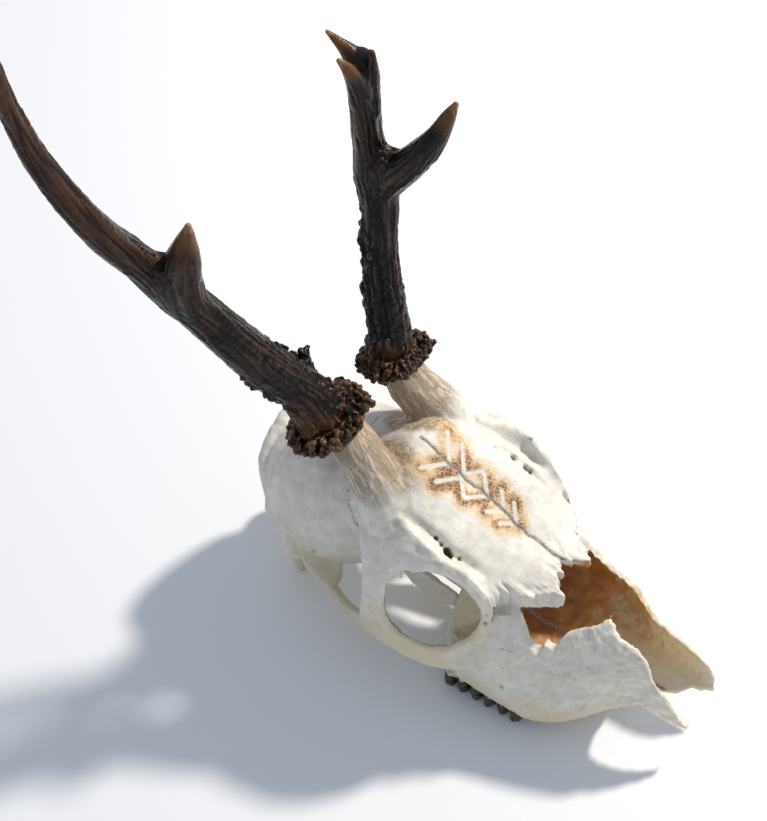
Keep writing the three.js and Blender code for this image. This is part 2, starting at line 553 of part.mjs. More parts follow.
function burr(place, axis, seed) {
  const random = seeded(seed);
  const centre = at(place.x, place.f, place.z);
  const sideways = new THREE.Vector3().crossVectors(axis, at(0, 1, 0)).normalize();
  const rim = [];
  const levels = [-1, 0, 1].map((step) => centre.clone().addScaledVector(axis, step * BURR_HEIGHT));
  const core = swept(levels, 5, 12, (t) => {
    const size = place.radius - 3 * Math.abs(2 * t - 1) ** 2;
    return [size, size];
  }, at(0, 1, 0));
  for (let i = 0; i < BURR_KNOBS; i += 1) {
    const turn = (i + 0.5 * random()) / BURR_KNOBS * 2 * Math.PI;
    const size = 2.4 + 1.5 * random();
    const outward = sideways.clone().applyAxisAngle(axis, turn);
    rim.push(knob(centre.clone().addScaledVector(outward, place.radius - 0.2)
      .addScaledVector(axis, (random() - 0.5) * 2.4), size, random() * 3, 0));
  }
  return core.add(joined(rim));
}

const middleLine = (points) => new THREE.CatmullRomCurve3(onSide(1, points), false, 'centripetal');

// Thin flat cut with its middle at a point, facing along a normal, longer along one direction
function thinCut(point, normal, halfLong, halfWide, longWay) {
  const across = new THREE.Vector3().crossVectors(normal, longWay).normalize();
  const along = new THREE.Vector3().crossVectors(across, normal).normalize();
  const slab = new THREE.BoxGeometry(2 * halfWide, 2 * halfLong, GAP);
  slab.applyMatrix4(new THREE.Matrix4().makeBasis(across, along, normal.clone().normalize()));
  slab.translate(point.x, point.y, point.z);
  return solid(slab);
}

// Cut square to a length of antler at a place along it
function crossCut(points, t, halfWidth, longWay = at(0, 1, 0.1)) {
  const curve = middleLine(points);
  return thinCut(curve.getPointAt(t), curve.getTangentAt(t), halfWidth, halfWidth, longWay);
}

// Cut that parts a tine from the beam, flat on the beam's side
function tineCut(tine, t, beam, u, depth, halfLong, halfWide) {
  const beamLine = middleLine(beam);
  const foot = beamLine.getPointAt(u);
  const along = beamLine.getTangentAt(u);
  const outward = middleLine(tine).getPointAt(t).sub(foot).projectOnPlane(along).normalize();
  return thinCut(foot.addScaledVector(outward, depth), outward, halfLong, halfWide, along);
}

// Cuts one antler apart and names each length by a place inside it
function partedAntler(lengths, cuts, markers) {
  const pieces = cuts.reduce((body, cut) => body.subtract(cut), joined(lengths)).decompose();
  const nodes = {};
  for (const [name, marker] of Object.entries(markers)) {
    const probe = ellipsoid(marker, [1, 1, 1], 6, 4);
    nodes[name] = pieces.find((piece) => piece.intersect(probe).volume() > 0);
  }
  return nodes;
}

function antlerNodes() {
  const rearSide = at(-0.47, -0.88, 0.1);
  const innerSide = at(0.74, -0.39, 0.54);
  const burrTop = (place, axis) => {
    const top = at(place.x, place.f, place.z).addScaledVector(axis, BURR_HEIGHT + GAP);
    return beyond(top, axis.clone().negate());
  };
  const inside = (points, t) => middleLine(points).getPointAt(t);
  const right = partedAntler([
    antlerLength(LOWER_RIGHT, 12, 3),
    pearls(LOWER_RIGHT, 15, 0.5, innerSide, 11),
    antlerLength(UPPER_RIGHT, 18, 4),
    antlerLength(FRONT_TINE_RIGHT, 7, 5),
  ], [
    burrTop(RIGHT_BURR, RIGHT_AXIS),
    crossCut(LOWER_RIGHT, 0.9, 10),
    tineCut(FRONT_TINE_RIGHT, 0.5, UPPER_RIGHT, 0.08, 6.1, 19, 12),
  ], {
    antler_beam_right: inside(LOWER_RIGHT, 0.6),
    antler_upper_right: inside(UPPER_RIGHT, 0.5),
    antler_front_tine_right: inside(FRONT_TINE_RIGHT, 0.85),
  });
  const left = partedAntler([
    antlerLength(LOWER_LEFT, 12, 6),
    pearls(LOWER_LEFT, 15, 0.7, rearSide, 12),
    antlerLength(UPPER_LEFT, 12, 7),
    antlerLength(REAR_TINE_LEFT, 9, 8),
    antlerLength(CORNER_LEFT, 4, 10),
    antlerLength(FRONT_TINE_LEFT, 9, 9),
  ], [
    burrTop(LEFT_BURR, LEFT_AXIS),
    crossCut(LOWER_LEFT, 0.9, 9),
    tineCut(FRONT_TINE_LEFT, 0.6, UPPER_LEFT, 0.15, 6.4, 19, 12),
    crossCut(UPPER_LEFT, 0.56, 9),
    thinCut(at(TOP_CUT.x, TOP_CUT.f, TOP_CUT.z), at(1, 0, 0), TOP_CUT.halfHigh, TOP_CUT.halfLong, UP),
  ], {
    antler_beam_left: inside(LOWER_LEFT, 0.6),
    antler_upper_left: inside(UPPER_LEFT, 0.3),
    antler_top_tine_left: inside(UPPER_LEFT, 0.8),
    antler_front_tine_left: inside(FRONT_TINE_LEFT, 0.7),
    antler_rear_tine_left: inside(REAR_TINE_LEFT, 0.7),
  });
  return {
    antler_burr_right: burr(RIGHT_BURR, RIGHT_AXIS, 21),
    antler_burr_left: burr(LEFT_BURR, LEFT_AXIS, 22),
    ...right,
    ...left,
  };
}

function meshOf(name, body, finish) {
  const found = largest(body).getMesh();
  const geometry = new THREE.BufferGeometry();
  geometry.setAttribute('position', new THREE.BufferAttribute(Float32Array.from(found.vertProperties), 3));
  geometry.setIndex(new THREE.BufferAttribute(Uint32Array.from(found.triVerts), 1));
  geometry.computeVertexNormals();
  const mesh = new THREE.Mesh(geometry, new THREE.MeshStandardMaterial(finish));
  mesh.name = name;
  return mesh;
}

// The origin lies on the floor under the middle of the whole model
function centred(group) {
  const bounds = new THREE.Box3().setFromObject(group, true);
  const middle = bounds.getCenter(new THREE.Vector3());
  group.position.set(-middle.x, -middle.y, 0);
  return group;
}

const model = new THREE.Group();
for (const [name, body] of Object.entries(skullNodes())) {
  model.add(meshOf(name, body, /arch|maxilla/.test(name) ? CREAM : BONE));
}
for (const [name, body] of Object.entries(antlerNodes())) {
  model.add(meshOf(name, body, HORN));
}

export default centred(model);
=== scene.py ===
"""Looks of a roe buck's skull with its antlers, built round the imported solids."""
import json
import math

import bmesh
import bpy
import numpy as np
from mathutils import Matrix, Vector

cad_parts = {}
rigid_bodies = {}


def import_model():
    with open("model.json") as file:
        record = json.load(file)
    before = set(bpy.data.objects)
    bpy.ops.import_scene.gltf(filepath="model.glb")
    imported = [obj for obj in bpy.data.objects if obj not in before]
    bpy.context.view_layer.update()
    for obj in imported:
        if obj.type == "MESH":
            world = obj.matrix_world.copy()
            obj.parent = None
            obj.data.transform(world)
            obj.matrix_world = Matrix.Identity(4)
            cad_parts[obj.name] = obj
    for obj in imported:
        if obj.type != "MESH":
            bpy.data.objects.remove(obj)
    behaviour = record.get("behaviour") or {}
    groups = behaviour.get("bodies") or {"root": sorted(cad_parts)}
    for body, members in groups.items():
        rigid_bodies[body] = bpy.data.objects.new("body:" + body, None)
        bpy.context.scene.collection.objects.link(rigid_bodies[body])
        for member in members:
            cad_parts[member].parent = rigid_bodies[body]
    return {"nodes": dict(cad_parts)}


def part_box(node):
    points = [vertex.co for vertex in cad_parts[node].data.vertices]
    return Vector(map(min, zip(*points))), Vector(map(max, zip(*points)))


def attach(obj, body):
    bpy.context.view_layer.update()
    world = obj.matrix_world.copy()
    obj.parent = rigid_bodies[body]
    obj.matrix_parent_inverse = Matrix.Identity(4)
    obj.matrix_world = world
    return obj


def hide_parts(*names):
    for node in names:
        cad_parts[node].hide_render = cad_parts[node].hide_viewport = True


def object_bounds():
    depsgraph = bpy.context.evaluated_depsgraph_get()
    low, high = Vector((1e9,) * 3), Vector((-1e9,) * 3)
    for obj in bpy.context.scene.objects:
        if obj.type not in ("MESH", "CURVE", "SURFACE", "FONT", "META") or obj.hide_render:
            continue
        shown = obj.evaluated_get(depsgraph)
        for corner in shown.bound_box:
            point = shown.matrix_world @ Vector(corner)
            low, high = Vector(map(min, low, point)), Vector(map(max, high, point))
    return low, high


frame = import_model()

CAD_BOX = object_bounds()

# Places on the skull are (x, f, z) in millimetres: x to the animal's left, f forward from the
# nuchal crest, z up from the table. The solids' own boxes say where that frame lies.
MM = 0.001
FACE_BACK_CUT = 84.45
MIDLINE = (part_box("maxilla_right")[1].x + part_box("maxilla_left")[0].x) / 2 / MM
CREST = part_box("braincase")[0].y / MM + FACE_BACK_CUT

# Voxels of the fused skins, in millimetres
BONE_VOXEL, TUBE_VOXEL, ANTLER_VOXEL, BURR_VOXEL, MOLAR_VOXEL = 0.58, 0.6, 0.45, 0.36, 0.3
# The bone is grown by this before it is fused and shrunk again after, so that thin walls hold
GROW = 0.25
SKIN_STEPS, FORK_STEPS = 45, 170
BOX_MARGIN = 1e-5
TOOTH_ROW = {"first": 87.6, "pitch": 10.9, "count": 3, "x": 27.6, "gum": 8.2}

FACE_NODES = ["maxilla_right", "maxilla_left"]
ARCH_NODES = ["zygomatic_arch_right", "zygomatic_arch_left"]
CRANIUM_NODES = ["occiput", "braincase"]
FRONTAL_NODES = ["frontal_bones", "pedicle_right", "pedicle_left"]
RIGHT_ANTLER = ["antler_beam_right", "antler_upper_right", "antler_front_tine_right"]
LEFT_ANTLER = ["antler_beam_left", "antler_upper_left", "antler_top_tine_left",
               "antler_front_tine_left", "antler_rear_tine_left"]


def spot(x, f, z):
    """Point of the skull in the model's frame, in metres"""
    return Vector(((x + MIDLINE) * MM, (CREST - f) * MM, z * MM))


def skull_places(points):
    """Vertex places in metres turned to (x, f, z) in millimetres"""
    return np.stack([points[:, 0] / MM - MIDLINE, CREST - points[:, 1] / MM, points[:, 2] / MM], axis=1)


def linear(hex_colour):
    """sRGB hex turned to linear red, green, blue, alpha"""
    parts = [int(hex_colour[i:i + 2], 16) / 255 for i in (1, 3, 5)]
    return [c / 12.92 if c <= 0.04045 else ((c + 0.055) / 1.055) ** 2.4 for c in parts] + [1.0]


# Fields over the skull

def smooth(low, high, value):
    t = np.clip((value - low) / (high - low), 0, 1)
    return t * t * (3 - 2 * t)


def lattice(cell, seed):
    """Repeatable random value between -1 and 1 for whole-number cells"""
    mixed = (cell[..., 0] * 374761393 + cell[..., 1] * 668265263 + cell[..., 2] * 1440662683
             + seed * 974634777) & 0xFFFFFFFF
    mixed = ((mixed ^ (mixed >> 13)) * 1274126177) & 0xFFFFFFFF
    return ((mixed ^ (mixed >> 16)) & 0xFFFF) / 32767.5 - 1


def noise(points, size, seed=0, octaves=1):
    """Smooth random field with a given grain in millimetres"""
    total = np.zeros(len(points))
    for octave in range(octaves):
        place = points / (size / 2 ** octave)
        cell = np.floor(place).astype(np.int64)
        t = place - cell
        t = t * t * (3 - 2 * t)
        value = np.zeros(len(points))
        for corner in np.ndindex(2, 2, 2):
            weight = np.prod(np.where(corner, t, 1 - t), axis=1)
            value += weight * lattice(cell + np.array(corner), seed + 31 * octave)
        total += value / 2 ** octave
    return total


def from_line(points, line):
    """Distance of each point to a line of points, and how far along it the nearest place is"""
    line = np.array(line, float)
    best = np.full(len(points), 1e9)
    along = np.zeros(len(points))
    for i, (start, end) in enumerate(zip(line[:-1], line[1:])):
        step = end - start
        t = np.clip(((points - start) @ step) / (step @ step), 0, 1)
        gap = np.linalg.norm(points - start - t[:, None] * step, axis=1)
        nearer = gap < best
        best[nearer] = gap[nearer]
        along[nearer] = (i + t[nearer]) / (len(line) - 1)
    return best, along


def gap_to(centre, points):
    """Distance of each point to one place"""
    return np.linalg.norm(points - np.array(centre), axis=1)


def vertex_normals(mesh):
    normals = np.zeros(len(mesh.vertices) * 3, np.float32)
    mesh.vertex_normals.foreach_get("vector", normals)
    return normals.reshape(-1, 3).astype(float)


def vertex_places(mesh):
    places = np.zeros(len(mesh.vertices) * 3, np.float32)
    mesh.vertices.foreach_get("co", places)
    return places.reshape(-1, 3).astype(float)


def move_vertices(mesh, places):
    mesh.vertices.foreach_set("co", places.astype(np.float32).ravel())
    mesh.update()


def store(mesh, name, values):
    attribute = mesh.attributes.get(name) or mesh.attributes.new(name, "FLOAT", "POINT")
    attribute.data.foreach_set("value", values.astype(np.float32))


def store_vector(mesh, name, values):
    attribute = mesh.attributes.get(name) or mesh.attributes.new(name, "FLOAT_VECTOR", "POINT")
    attribute.data.foreach_set("vector", values.astype(np.float32).ravel())


class Web:
    """Neighbour means over a mesh's edges"""

    def __init__(self, mesh):
        edges = np.zeros(len(mesh.edges) * 2, np.int32)
        mesh.edges.foreach_get("vertices", edges)
        self.first, self.second = edges[0::2], edges[1::2]
        self.count = np.maximum(np.bincount(edges, minlength=len(mesh.vertices)), 1)

    def mean(self, values):
        size = len(self.count)
        return np.stack([(np.bincount(self.first, column[self.second], size)
                          + np.bincount(self.second, column[self.first], size)) / self.count
                         for column in values.T], axis=1)


def evened(mesh, strength, steps, band=0.1):
    """Takes the facets out of a mesh without shrinking its thin parts"""
    places, web = vertex_places(mesh), Web(mesh)
    inward = 0.5
    outward = 1 / (band - 1 / inward)
    for step in range(2 * steps):
        factor = (inward if step % 2 == 0 else outward) * strength
        places += factor[:, None] * (web.mean(places) - places)
    move_vertices(mesh, places)


def filled_in(mesh, strength, steps):
    """Rounds out hollow corners, such as crotches, and leaves everything that stands out as it is"""
    web = Web(mesh)
    for _ in range(steps):
        places, normals = vertex_places(mesh), vertex_normals(mesh)
        step = ((web.mean(places) - places) * normals).sum(axis=1)
        move_vertices(mesh, places + normals * (np.maximum(step, 0) * strength)[:, None])


def bulge(mesh, steps):
    """How far each vertex stands out from its surroundings, in millimetres"""
    start, web = vertex_places(mesh), Web(mesh)
    places = start
    for _ in range(steps):
        places = web.mean(places)
    return ((start - places) * vertex_normals(mesh)).sum(axis=1) / MM


def evenly(mesh, values, steps):
    """A field with its hard steps blurred over the skin"""
    web, values = Web(mesh), values[:, None]
    for _ in range(steps):
        values = web.mean(values)
    return values[:, 0]


# Making pieces

def linked(name, mesh):
    piece = bpy.data.objects.new(name, mesh)
    bpy.context.scene.collection.objects.link(piece)
    return piece


def made_of(name, bm):
    """One object from a finished bmesh"""
    mesh = bpy.data.meshes.new(name)
    bm.to_mesh(mesh)
    bm.free()
    return linked(name, mesh)


def merged_copy(name, nodes):
    """One object from copies of the solids, with each solid's loose triangles joined up"""
    bm = bmesh.new()
    for node in nodes:
        bm.from_mesh(frame["nodes"][node].data)
    bmesh.ops.remove_doubles(bm, verts=bm.verts, dist=2e-7)
    return made_of(name, bm)


def fused(piece, voxel):
    """The piece's closed shapes as one even skin"""
    loose = piece.data
    fuse = piece.modifiers.new("fuse", "REMESH")
    fuse.mode = "VOXEL"
    fuse.voxel_size = voxel * MM
    piece.data = bpy.data.meshes.new_from_object(piece.evaluated_get(bpy.context.evaluated_depsgraph_get()))
    piece.modifiers.clear()
    bpy.data.meshes.remove(loose)
    return piece.data


def kept_in_box(mesh):
    """Keeps a piece inside the box of the solids"""
    low, high = (np.array([*corner]) for corner in CAD_BOX)
    move_vertices(mesh, np.clip(vertex_places(mesh), low + BOX_MARGIN, high - BOX_MARGIN))


def with_lumps(piece, lumps):
    """Adds rounded plates and spurs, each with its middle, half sizes and direction"""
    bm = bmesh.new()
    bm.from_mesh(piece.data)
    for place, half, (ax, af, az) in lumps:
        turn = Vector((ax, -af, az)).to_track_quat("Y", "Z").to_matrix().to_4x4()
        shape = Matrix.Translation(spot(*place)) @ turn @ Matrix.Diagonal((*(size * MM for size in half), 1))
        bmesh.ops.create_icosphere(bm, subdivisions=3, radius=1, matrix=shape)
    bm.to_mesh(piece.data)
    bm.free()


def shaded_smooth(mesh):
    mesh.polygons.foreach_set("use_smooth", np.ones(len(mesh.polygons), bool))
    mesh.update()


def finished(piece, slot, material, *nodes):
    piece.data.materials.clear()
    piece.data.materials.append(material)
    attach(piece, "root")
    if nodes:
        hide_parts(*nodes)
    return piece


# Materials

def add(tree, kind, settings, sockets, out=0):
    """Adds a shader node with its settings, socket values and links, and gives one of its outputs"""
    made = tree.nodes.new("ShaderNode" + kind)
    for key, value in settings.items():
        setattr(made, key, value)
    for key, value in sockets.items():
        if isinstance(value, bpy.types.NodeSocket):
            tree.links.new(value, made.inputs[key])
        else:
            made.inputs[key].default_value = value
    return made.outputs[out] if out is not None else made


RGBA = {"data_type": "RGBA"}
SMOOTH = {"interpolation_type": "SMOOTHSTEP"}
TIMES = {"operation": "MULTIPLY"}
PLUS = {"operation": "ADD"}
LESS = {"operation": "SUBTRACT"}


def new_material(name):
    material = bpy.data.materials.new(name)
    material.use_nodes = True
    material.node_tree.nodes.clear()
    return material, material.node_tree


def bleached_bone():
    """Dry bone, boiled and bleached: chalky off-white, cream where it is thin or greasy, tan and wrinkled on
    the pedicles, with brown inside the nose, grey sutures, pores and a scorched forehead, and painted shade
    in hollows, deep holes, behind the cheek arches and under the burrs"""
    material, t = new_material("bleached_bone")
    place = add(t, "TexCoord", {}, {}, "Object")
    names = ("warm", "nasal", "nasal_depth", "stain_and_shade", "tan", "mauve_shade", "suture", "band", "scorch", "bare",
             "hole_shade")
    field = {name: add(t, "Attribute", {"attribute_name": name}, {}, "Fac") for name in names}
    grain = add(t, "Attribute", {"attribute_name": "grain"}, {}, "Vector")
    cloud = add(t, "TexNoise", {}, {"Vector": place, "Scale": 1 / (9 * MM), "Detail": 4.0})
    fine = add(t, "TexNoise", {}, {"Vector": place, "Scale": 1 / (1.3 * MM), "Detail": 4.0})
    speck = add(t, "TexNoise", {}, {
        "Vector": place, "Scale": 1 / (0.7 * MM), "Detail": 3.0, "Roughness": 0.7})
    jagged = add(t, "TexNoise", {}, {"Vector": place, "Scale": 1 / (0.9 * MM), "Detail": 2.0})
    blotch = add(t, "TexNoise", {}, {
        "Vector": place, "Scale": 1 / (5 * MM), "Detail": 5.0, "Roughness": 0.65})
    # The grain attribute is in millimetres already
    wrinkle = add(t, "TexNoise", {}, {"Vector": grain, "Scale": 1 / 1.5, "Detail": 4.0, "Roughness": 0.6})
    dot_gap = add(t, "TexVoronoi", {}, {"Vector": place, "Scale": 1 / (0.95 * MM)})
    pore_gap = add(t, "TexVoronoi", {}, {"Vector": place, "Scale": 1 / (1.15 * MM)})
    # Chalk-white bone in lighter and greyer patches, ivory where it is thin or greasy
    chalk = add(t, "MapRange", SMOOTH, {0: blotch, 1: 0.3, 2: 0.72})
    colour = add(t, "Mix", RGBA, {0: chalk, 6: linear("#d6d0c4"), 7: linear("#ebe6dc")}, 2)
    patchy = add(t, "MapRange", {}, {0: cloud, 1: 0.0, 2: 1.0, 3: -0.35, 4: 0.35})
    warm = add(t, "Math", PLUS, {0: field["warm"], 1: patchy})
    warm = add(t, "MapRange", SMOOTH, {0: warm, 1: 0.1, 2: 1.0})
    # What lies over it, from the lowest layer to the topmost: (share, colour)
    # The mauve layer is painted shade under and between the burrs
    layers = [(warm, linear("#ddcfae")), (field["mauve_shade"], linear("#b19fa3"))]
    # Lining of the nose, from pale tan at the front through ochre to brown at the back
    uneven = add(t, "MapRange", {}, {0: blotch, 1: 0.3, 2: 0.7, 3: -0.1, 4: 0.3})
    deep = add(t, "Math", PLUS, {0: field["nasal_depth"], 1: uneven})
    lining = linear("#dccba6")
    for low, high, tint in ((0.3, 0.8, "#c8924f"), (0.8, 1.3, "#9a6534")):
        share = add(t, "MapRange", SMOOTH, {0: deep, 1: low, 2: high})
        lining = add(t, "Mix", RGBA, {0: share, 6: lining, 7: linear(tint)}, 2)
    layers.append((field["nasal"], lining))
    # Tan wrinkled pedicles with dark cracks along their grain
    tanned = add(t, "MapRange", SMOOTH, {0: wrinkle, 1: 0.35, 2: 0.65})
    hide = add(t, "Mix", RGBA, {0: tanned, 6: linear("#866d52"), 7: linear("#c2a985")}, 2)
    streaky = add(t, "MapRange", {}, {0: wrinkle, 1: 0.3, 2: 0.7, 3: 0.16, 4: -0.16})
    tan = add(t, "Math", PLUS, {0: field["tan"], 1: streaky})
    layers.append((add(t, "MapRange", SMOOTH, {0: tan, 1: 0.1, 2: 0.9, 3: 0.0, 4: 0.85}), hide))
    off_middle = add(t, "Math", LESS, {0: wrinkle, 1: 0.5})
    off_middle = add(t, "Math", {"operation": "ABSOLUTE"}, {0: off_middle})
    crack = add(t, "MapRange", SMOOTH, {0: off_middle, 1: 0.004, 2: 0.022, 3: 1.0, 4: 0.0})
    dried = add(t, "MapRange", SMOOTH, {0: field["tan"], 1: 0.15, 2: 0.6})
    crack = add(t, "Math", TIMES, {0: crack, 1: dried})
    layers.append((add(t, "Math", TIMES, {0: crack, 1: 0.7}), linear("#4f3f2e")))
    # Brown-grey marks: darker along the right brow and round the foot of each burr, and painted shade in
    # hollows, behind the cheek arches and on the inner faces of the lower orbit rims
    broken_up = add(t, "MapRange", SMOOTH, {0: fine, 1: 0.25, 2: 0.7, 3: 0.45, 4: 1.0})
    layers.append((add(t, "Math", TIMES, {0: field["stain_and_shade"], 1: broken_up}), linear("#9c8a6e")))
    # Scorched ornament: yellow, then orange-brown, then burnt dots, with straight bars left bare
    scatter = add(t, "MapRange", {}, {0: fine, 1: 0.0, 2: 1.0, 3: -0.3, 4: 0.3})
    toasted = add(t, "Math", PLUS, {0: field["scorch"], 1: scatter})
    for low, high, most, tint in ((0.02, 0.6, 0.7, "#dcb574"), (0.45, 0.95, 0.72, "#a56a2a"),
                                  (0.8, 1.25, 0.8, "#5e300e")):
        share = add(t, "MapRange", SMOOTH, {0: toasted, 1: low, 2: high, 3: 0.0, 4: most})
        layers.append((share, linear(tint)))
    dots = add(t, "MapRange", SMOOTH, {0: dot_gap, 1: 0.2, 2: 0.55, 3: 1.0, 4: 0.0})
    hot = add(t, "MapRange", SMOOTH, {0: toasted, 1: 0.45, 2: 0.95, 3: 0.0, 4: 0.95})
    layers.append((add(t, "Math", TIMES, {0: dots, 1: hot}), linear("#3c2010")))
    layers.append((field["bare"], linear("#ddd5c4")))
    # Sutures: a grey porous band along the forehead and fine wavering dark lines
    loose = add(t, "MapRange", {}, {0: speck, 1: 0.0, 2: 1.0, 3: -0.8, 4: 0.8})
    band = add(t, "Math", PLUS, {0: field["band"], 1: loose})
    band = add(t, "MapRange", SMOOTH, {0: band, 1: 0.3, 2: 1.2, 3: 0.85, 4: 0.0})
    layers.append((band, linear("#a39d92")))
    soot = add(t, "MapRange", SMOOTH, {0: speck, 1: 0.49, 2: 0.61, 3: 0.0, 4: 0.85})
    layers.append((add(t, "Math", TIMES, {0: soot, 1: band}), linear("#453e37")))
    waver = add(t, "MapRange", {}, {0: jagged, 1: 0.0, 2: 1.0, 3: -0.45, 4: 0.45})
    seam = add(t, "Math", PLUS, {0: field["suture"], 1: waver})
    seam = add(t, "MapRange", SMOOTH, {0: seam, 1: 0.08, 2: 0.36, 3: 1.0, 4: 0.0})
    layers.append((add(t, "Math", TIMES, {0: seam, 1: 0.75}), linear("#6d655a")))
    # Pores in patches, grey specks, and painted shade in the deep holes
    pores = add(t, "MapRange", SMOOTH, {0: pore_gap, 1: 0.12, 2: 0.3, 3: 1.0, 4: 0.0})
    porous = add(t, "MapRange", SMOOTH, {0: cloud, 1: 0.48, 2: 0.7})
    pitted = add(t, "Math", TIMES, {0: pores, 1: porous})
    layers.append((add(t, "Math", TIMES, {0: pitted, 1: 0.4}), linear("#7f776b")))
    specks = add(t, "MapRange", SMOOTH, {0: speck, 1: 0.56, 2: 0.72, 3: 0.0, 4: 0.22})
    layers.append((specks, linear("#a8a095")))
    layers.append((field["hole_shade"], linear("#5d4e3b")))
    for share, tint in layers:
        colour = add(t, "Mix", RGBA, {0: share, 6: colour, 7: tint}, 2)
    # Fine relief: sunken seams, pores, burnt dots and cracks, and creases on the pedicles
    burnt_in = add(t, "Math", TIMES, {0: dots, 1: field["scorch"]})
    height = fine
    for sunk in (seam, pitted, burnt_in, crack):
        height = add(t, "Math", LESS, {0: height, 1: sunk})
    creased = add(t, "Math", TIMES, {0: field["tan"], 1: 2.0})
    creased = add(t, "Math", TIMES, {0: wrinkle, 1: creased})
    height = add(t, "Math", PLUS, {0: height, 1: creased})
    relief = add(t, "Bump", {}, {"Height": height, "Strength": 0.45, "Distance": 0.3 * MM})
    surface = add(t, "BsdfPrincipled", {}, {
        "Base Color": colour, "Normal": relief, "Roughness": 0.55, "IOR": 1.55, "Subsurface Weight": 0.1,
        "Subsurface Radius": (1.0, 0.7, 0.45), "Subsurface Scale": 1.0 * MM})
    add(t, "OutputMaterial", {}, {"Surface": surface}, None)
    return material


def hard_antler():
    """Hard antler rubbed on bark: near-black, with brown ridges and a waxy shine, worn to tan at
    the tips"""
    material, t = new_material("hard_antler")
    place = add(t, "TexCoord", {}, {}, "Object")
    field = {name: add(t, "Attribute", {"attribute_name": name}, {}, "Fac")
             for name in ("worn", "tip", "furrow", "ash")}
    fine = add(t, "TexNoise", {}, {"Vector": place, "Scale": 1 / (1.1 * MM), "Detail": 4.0, "Roughness": 0.6})
    cloud = add(t, "TexNoise", {}, {"Vector": place, "Scale": 1 / (7 * MM), "Detail": 3.0})
    patchy = add(t, "MapRange", {}, {0: cloud, 1: 0.0, 2: 1.0, 3: -0.4, 4: 0.4})
    ridged = add(t, "Math", PLUS, {0: field["worn"], 1: patchy})
    ridged = add(t, "MapRange", SMOOTH, {0: ridged, 1: 0.1, 2: 1.0})
    rubbed = add(t, "MapRange", {}, {0: fine, 1: 0.0, 2: 1.0, 3: -0.15, 4: 0.15})
    tip = add(t, "Math", PLUS, {0: field["tip"], 1: rubbed})
    colour = linear("#150d08")
    for share, tint in ((ridged, "#4a3020"),
                        (add(t, "MapRange", SMOOTH, {0: tip, 1: 0.2, 2: 0.85}), "#6f4a2a"),
                        (add(t, "MapRange", SMOOTH, {0: tip, 1: 0.9, 2: 1.08}), "#a98f69"),
                        (add(t, "Math", TIMES, {0: field["furrow"], 1: 0.8}), "#0d0807"),
                        (field["ash"], "#68492b")):
        colour = add(t, "Mix", RGBA, {0: share, 6: colour, 7: linear(tint)}, 2)
    groove = add(t, "Math", TIMES, {0: field["furrow"], 1: 0.5})
    rough = add(t, "Math", PLUS, {0: fine, 1: groove})
    rough = add(t, "MapRange", {}, {0: rough, 1: 0.3, 2: 1.0, 3: 0.14, 4: 0.5})
    height = add(t, "Math", LESS, {0: fine, 1: groove})
    relief = add(t, "Bump", {}, {"Height": height, "Strength": 0.6, "Distance": 0.4 * MM})
    surface = add(t, "BsdfPrincipled", {}, {
        "Base Color": colour, "Normal": relief, "Roughness": rough, "IOR": 1.55, "Specular IOR Level": 0.2})
    add(t, "OutputMaterial", {}, {"Surface": surface}, None)
    return material


def stained_enamel():
    """Molar enamel under a crust of old plant stain: almost black, with tan dentine on the worn ridges"""
    material, t = new_material("stained_enamel")
    place = add(t, "TexCoord", {}, {}, "Object")
    fine = add(t, "TexNoise", {}, {"Vector": place, "Scale": 1 / (1.0 * MM), "Detail": 4.0})
    worn = add(t, "Attribute", {"attribute_name": "bare_tooth"}, {}, "Fac")
    crusty = add(t, "MapRange", SMOOTH, {0: fine, 1: 0.35, 2: 0.65})
    colour = add(t, "Mix", RGBA, {0: crusty, 6: linear("#14100d"), 7: linear("#3a2e24")}, 2)
    colour = add(t, "Mix", RGBA, {0: worn, 6: colour, 7: linear("#b79f74")}, 2)
    relief = add(t, "Bump", {}, {"Height": fine, "Strength": 0.4, "Distance": 0.2 * MM})
    surface = add(t, "BsdfPrincipled", {}, {
        "Base Color": colour, "Normal": relief, "Roughness": 0.35, "IOR": 1.62})
    add(t, "OutputMaterial", {}, {"Surface": surface}, None)
    return material


def pale_paper():
    """Matt white paper sweep that the skull stands on"""
    material, t = new_material("pale_paper")
    surface = add(t, "BsdfPrincipled", {}, {"Base Color": linear("#f1f2f4"), "Roughness": 0.9})
    add(t, "OutputMaterial", {}, {"Surface": surface}, None)
    return material


BONE = bleached_bone()
ANTLER = hard_antler()
ENAMEL = stained_enamel()
PAPER = pale_paper()


# The skull as one even skin, which is shaped as a whole and parted into its bones at the end

def without_teeth(piece):
    """Draws the solids' coarse crowns up into the gum, since finer teeth take their place"""
    mesh = piece.data
    places = vertex_places(mesh)
    x, f, z = skull_places(places).T
    end = TOOTH_ROW["first"] + TOOTH_ROW["pitch"] * TOOTH_ROW["count"] + 1
    crown = (np.abs(x) > 19) & (f > TOOTH_ROW["first"] - 2.5) & (f < end) & (z < TOOTH_ROW["gum"])
    places[crown, 2] = TOOTH_ROW["gum"] * MM
    move_vertices(mesh, places)


# Broad root and front swelling of each cheek arch, and two small spurs on the upper rim of each orbit:
# (middle, half sizes, direction)
LUMPS = []
for side in (-1, 1):
    LUMPS += [((side * 28.6, 32, 35), (6.4, 13, 1.9), (side * 0.42, 0.88, -0.08)),
              ((side * 35.2, 71, 66), (0.8, 2.6, 0.8), (side * 0.1, 0.4, -0.9)),
              ((side * 34, 75, 69.4), (0.7, 2.2, 0.7), (side * -0.1, 0.3, -0.9)),
              ((side * 38.6, 86, 29.4), (1.9, 10, 4.6), (side * -0.28, 0.95, -0.06))]

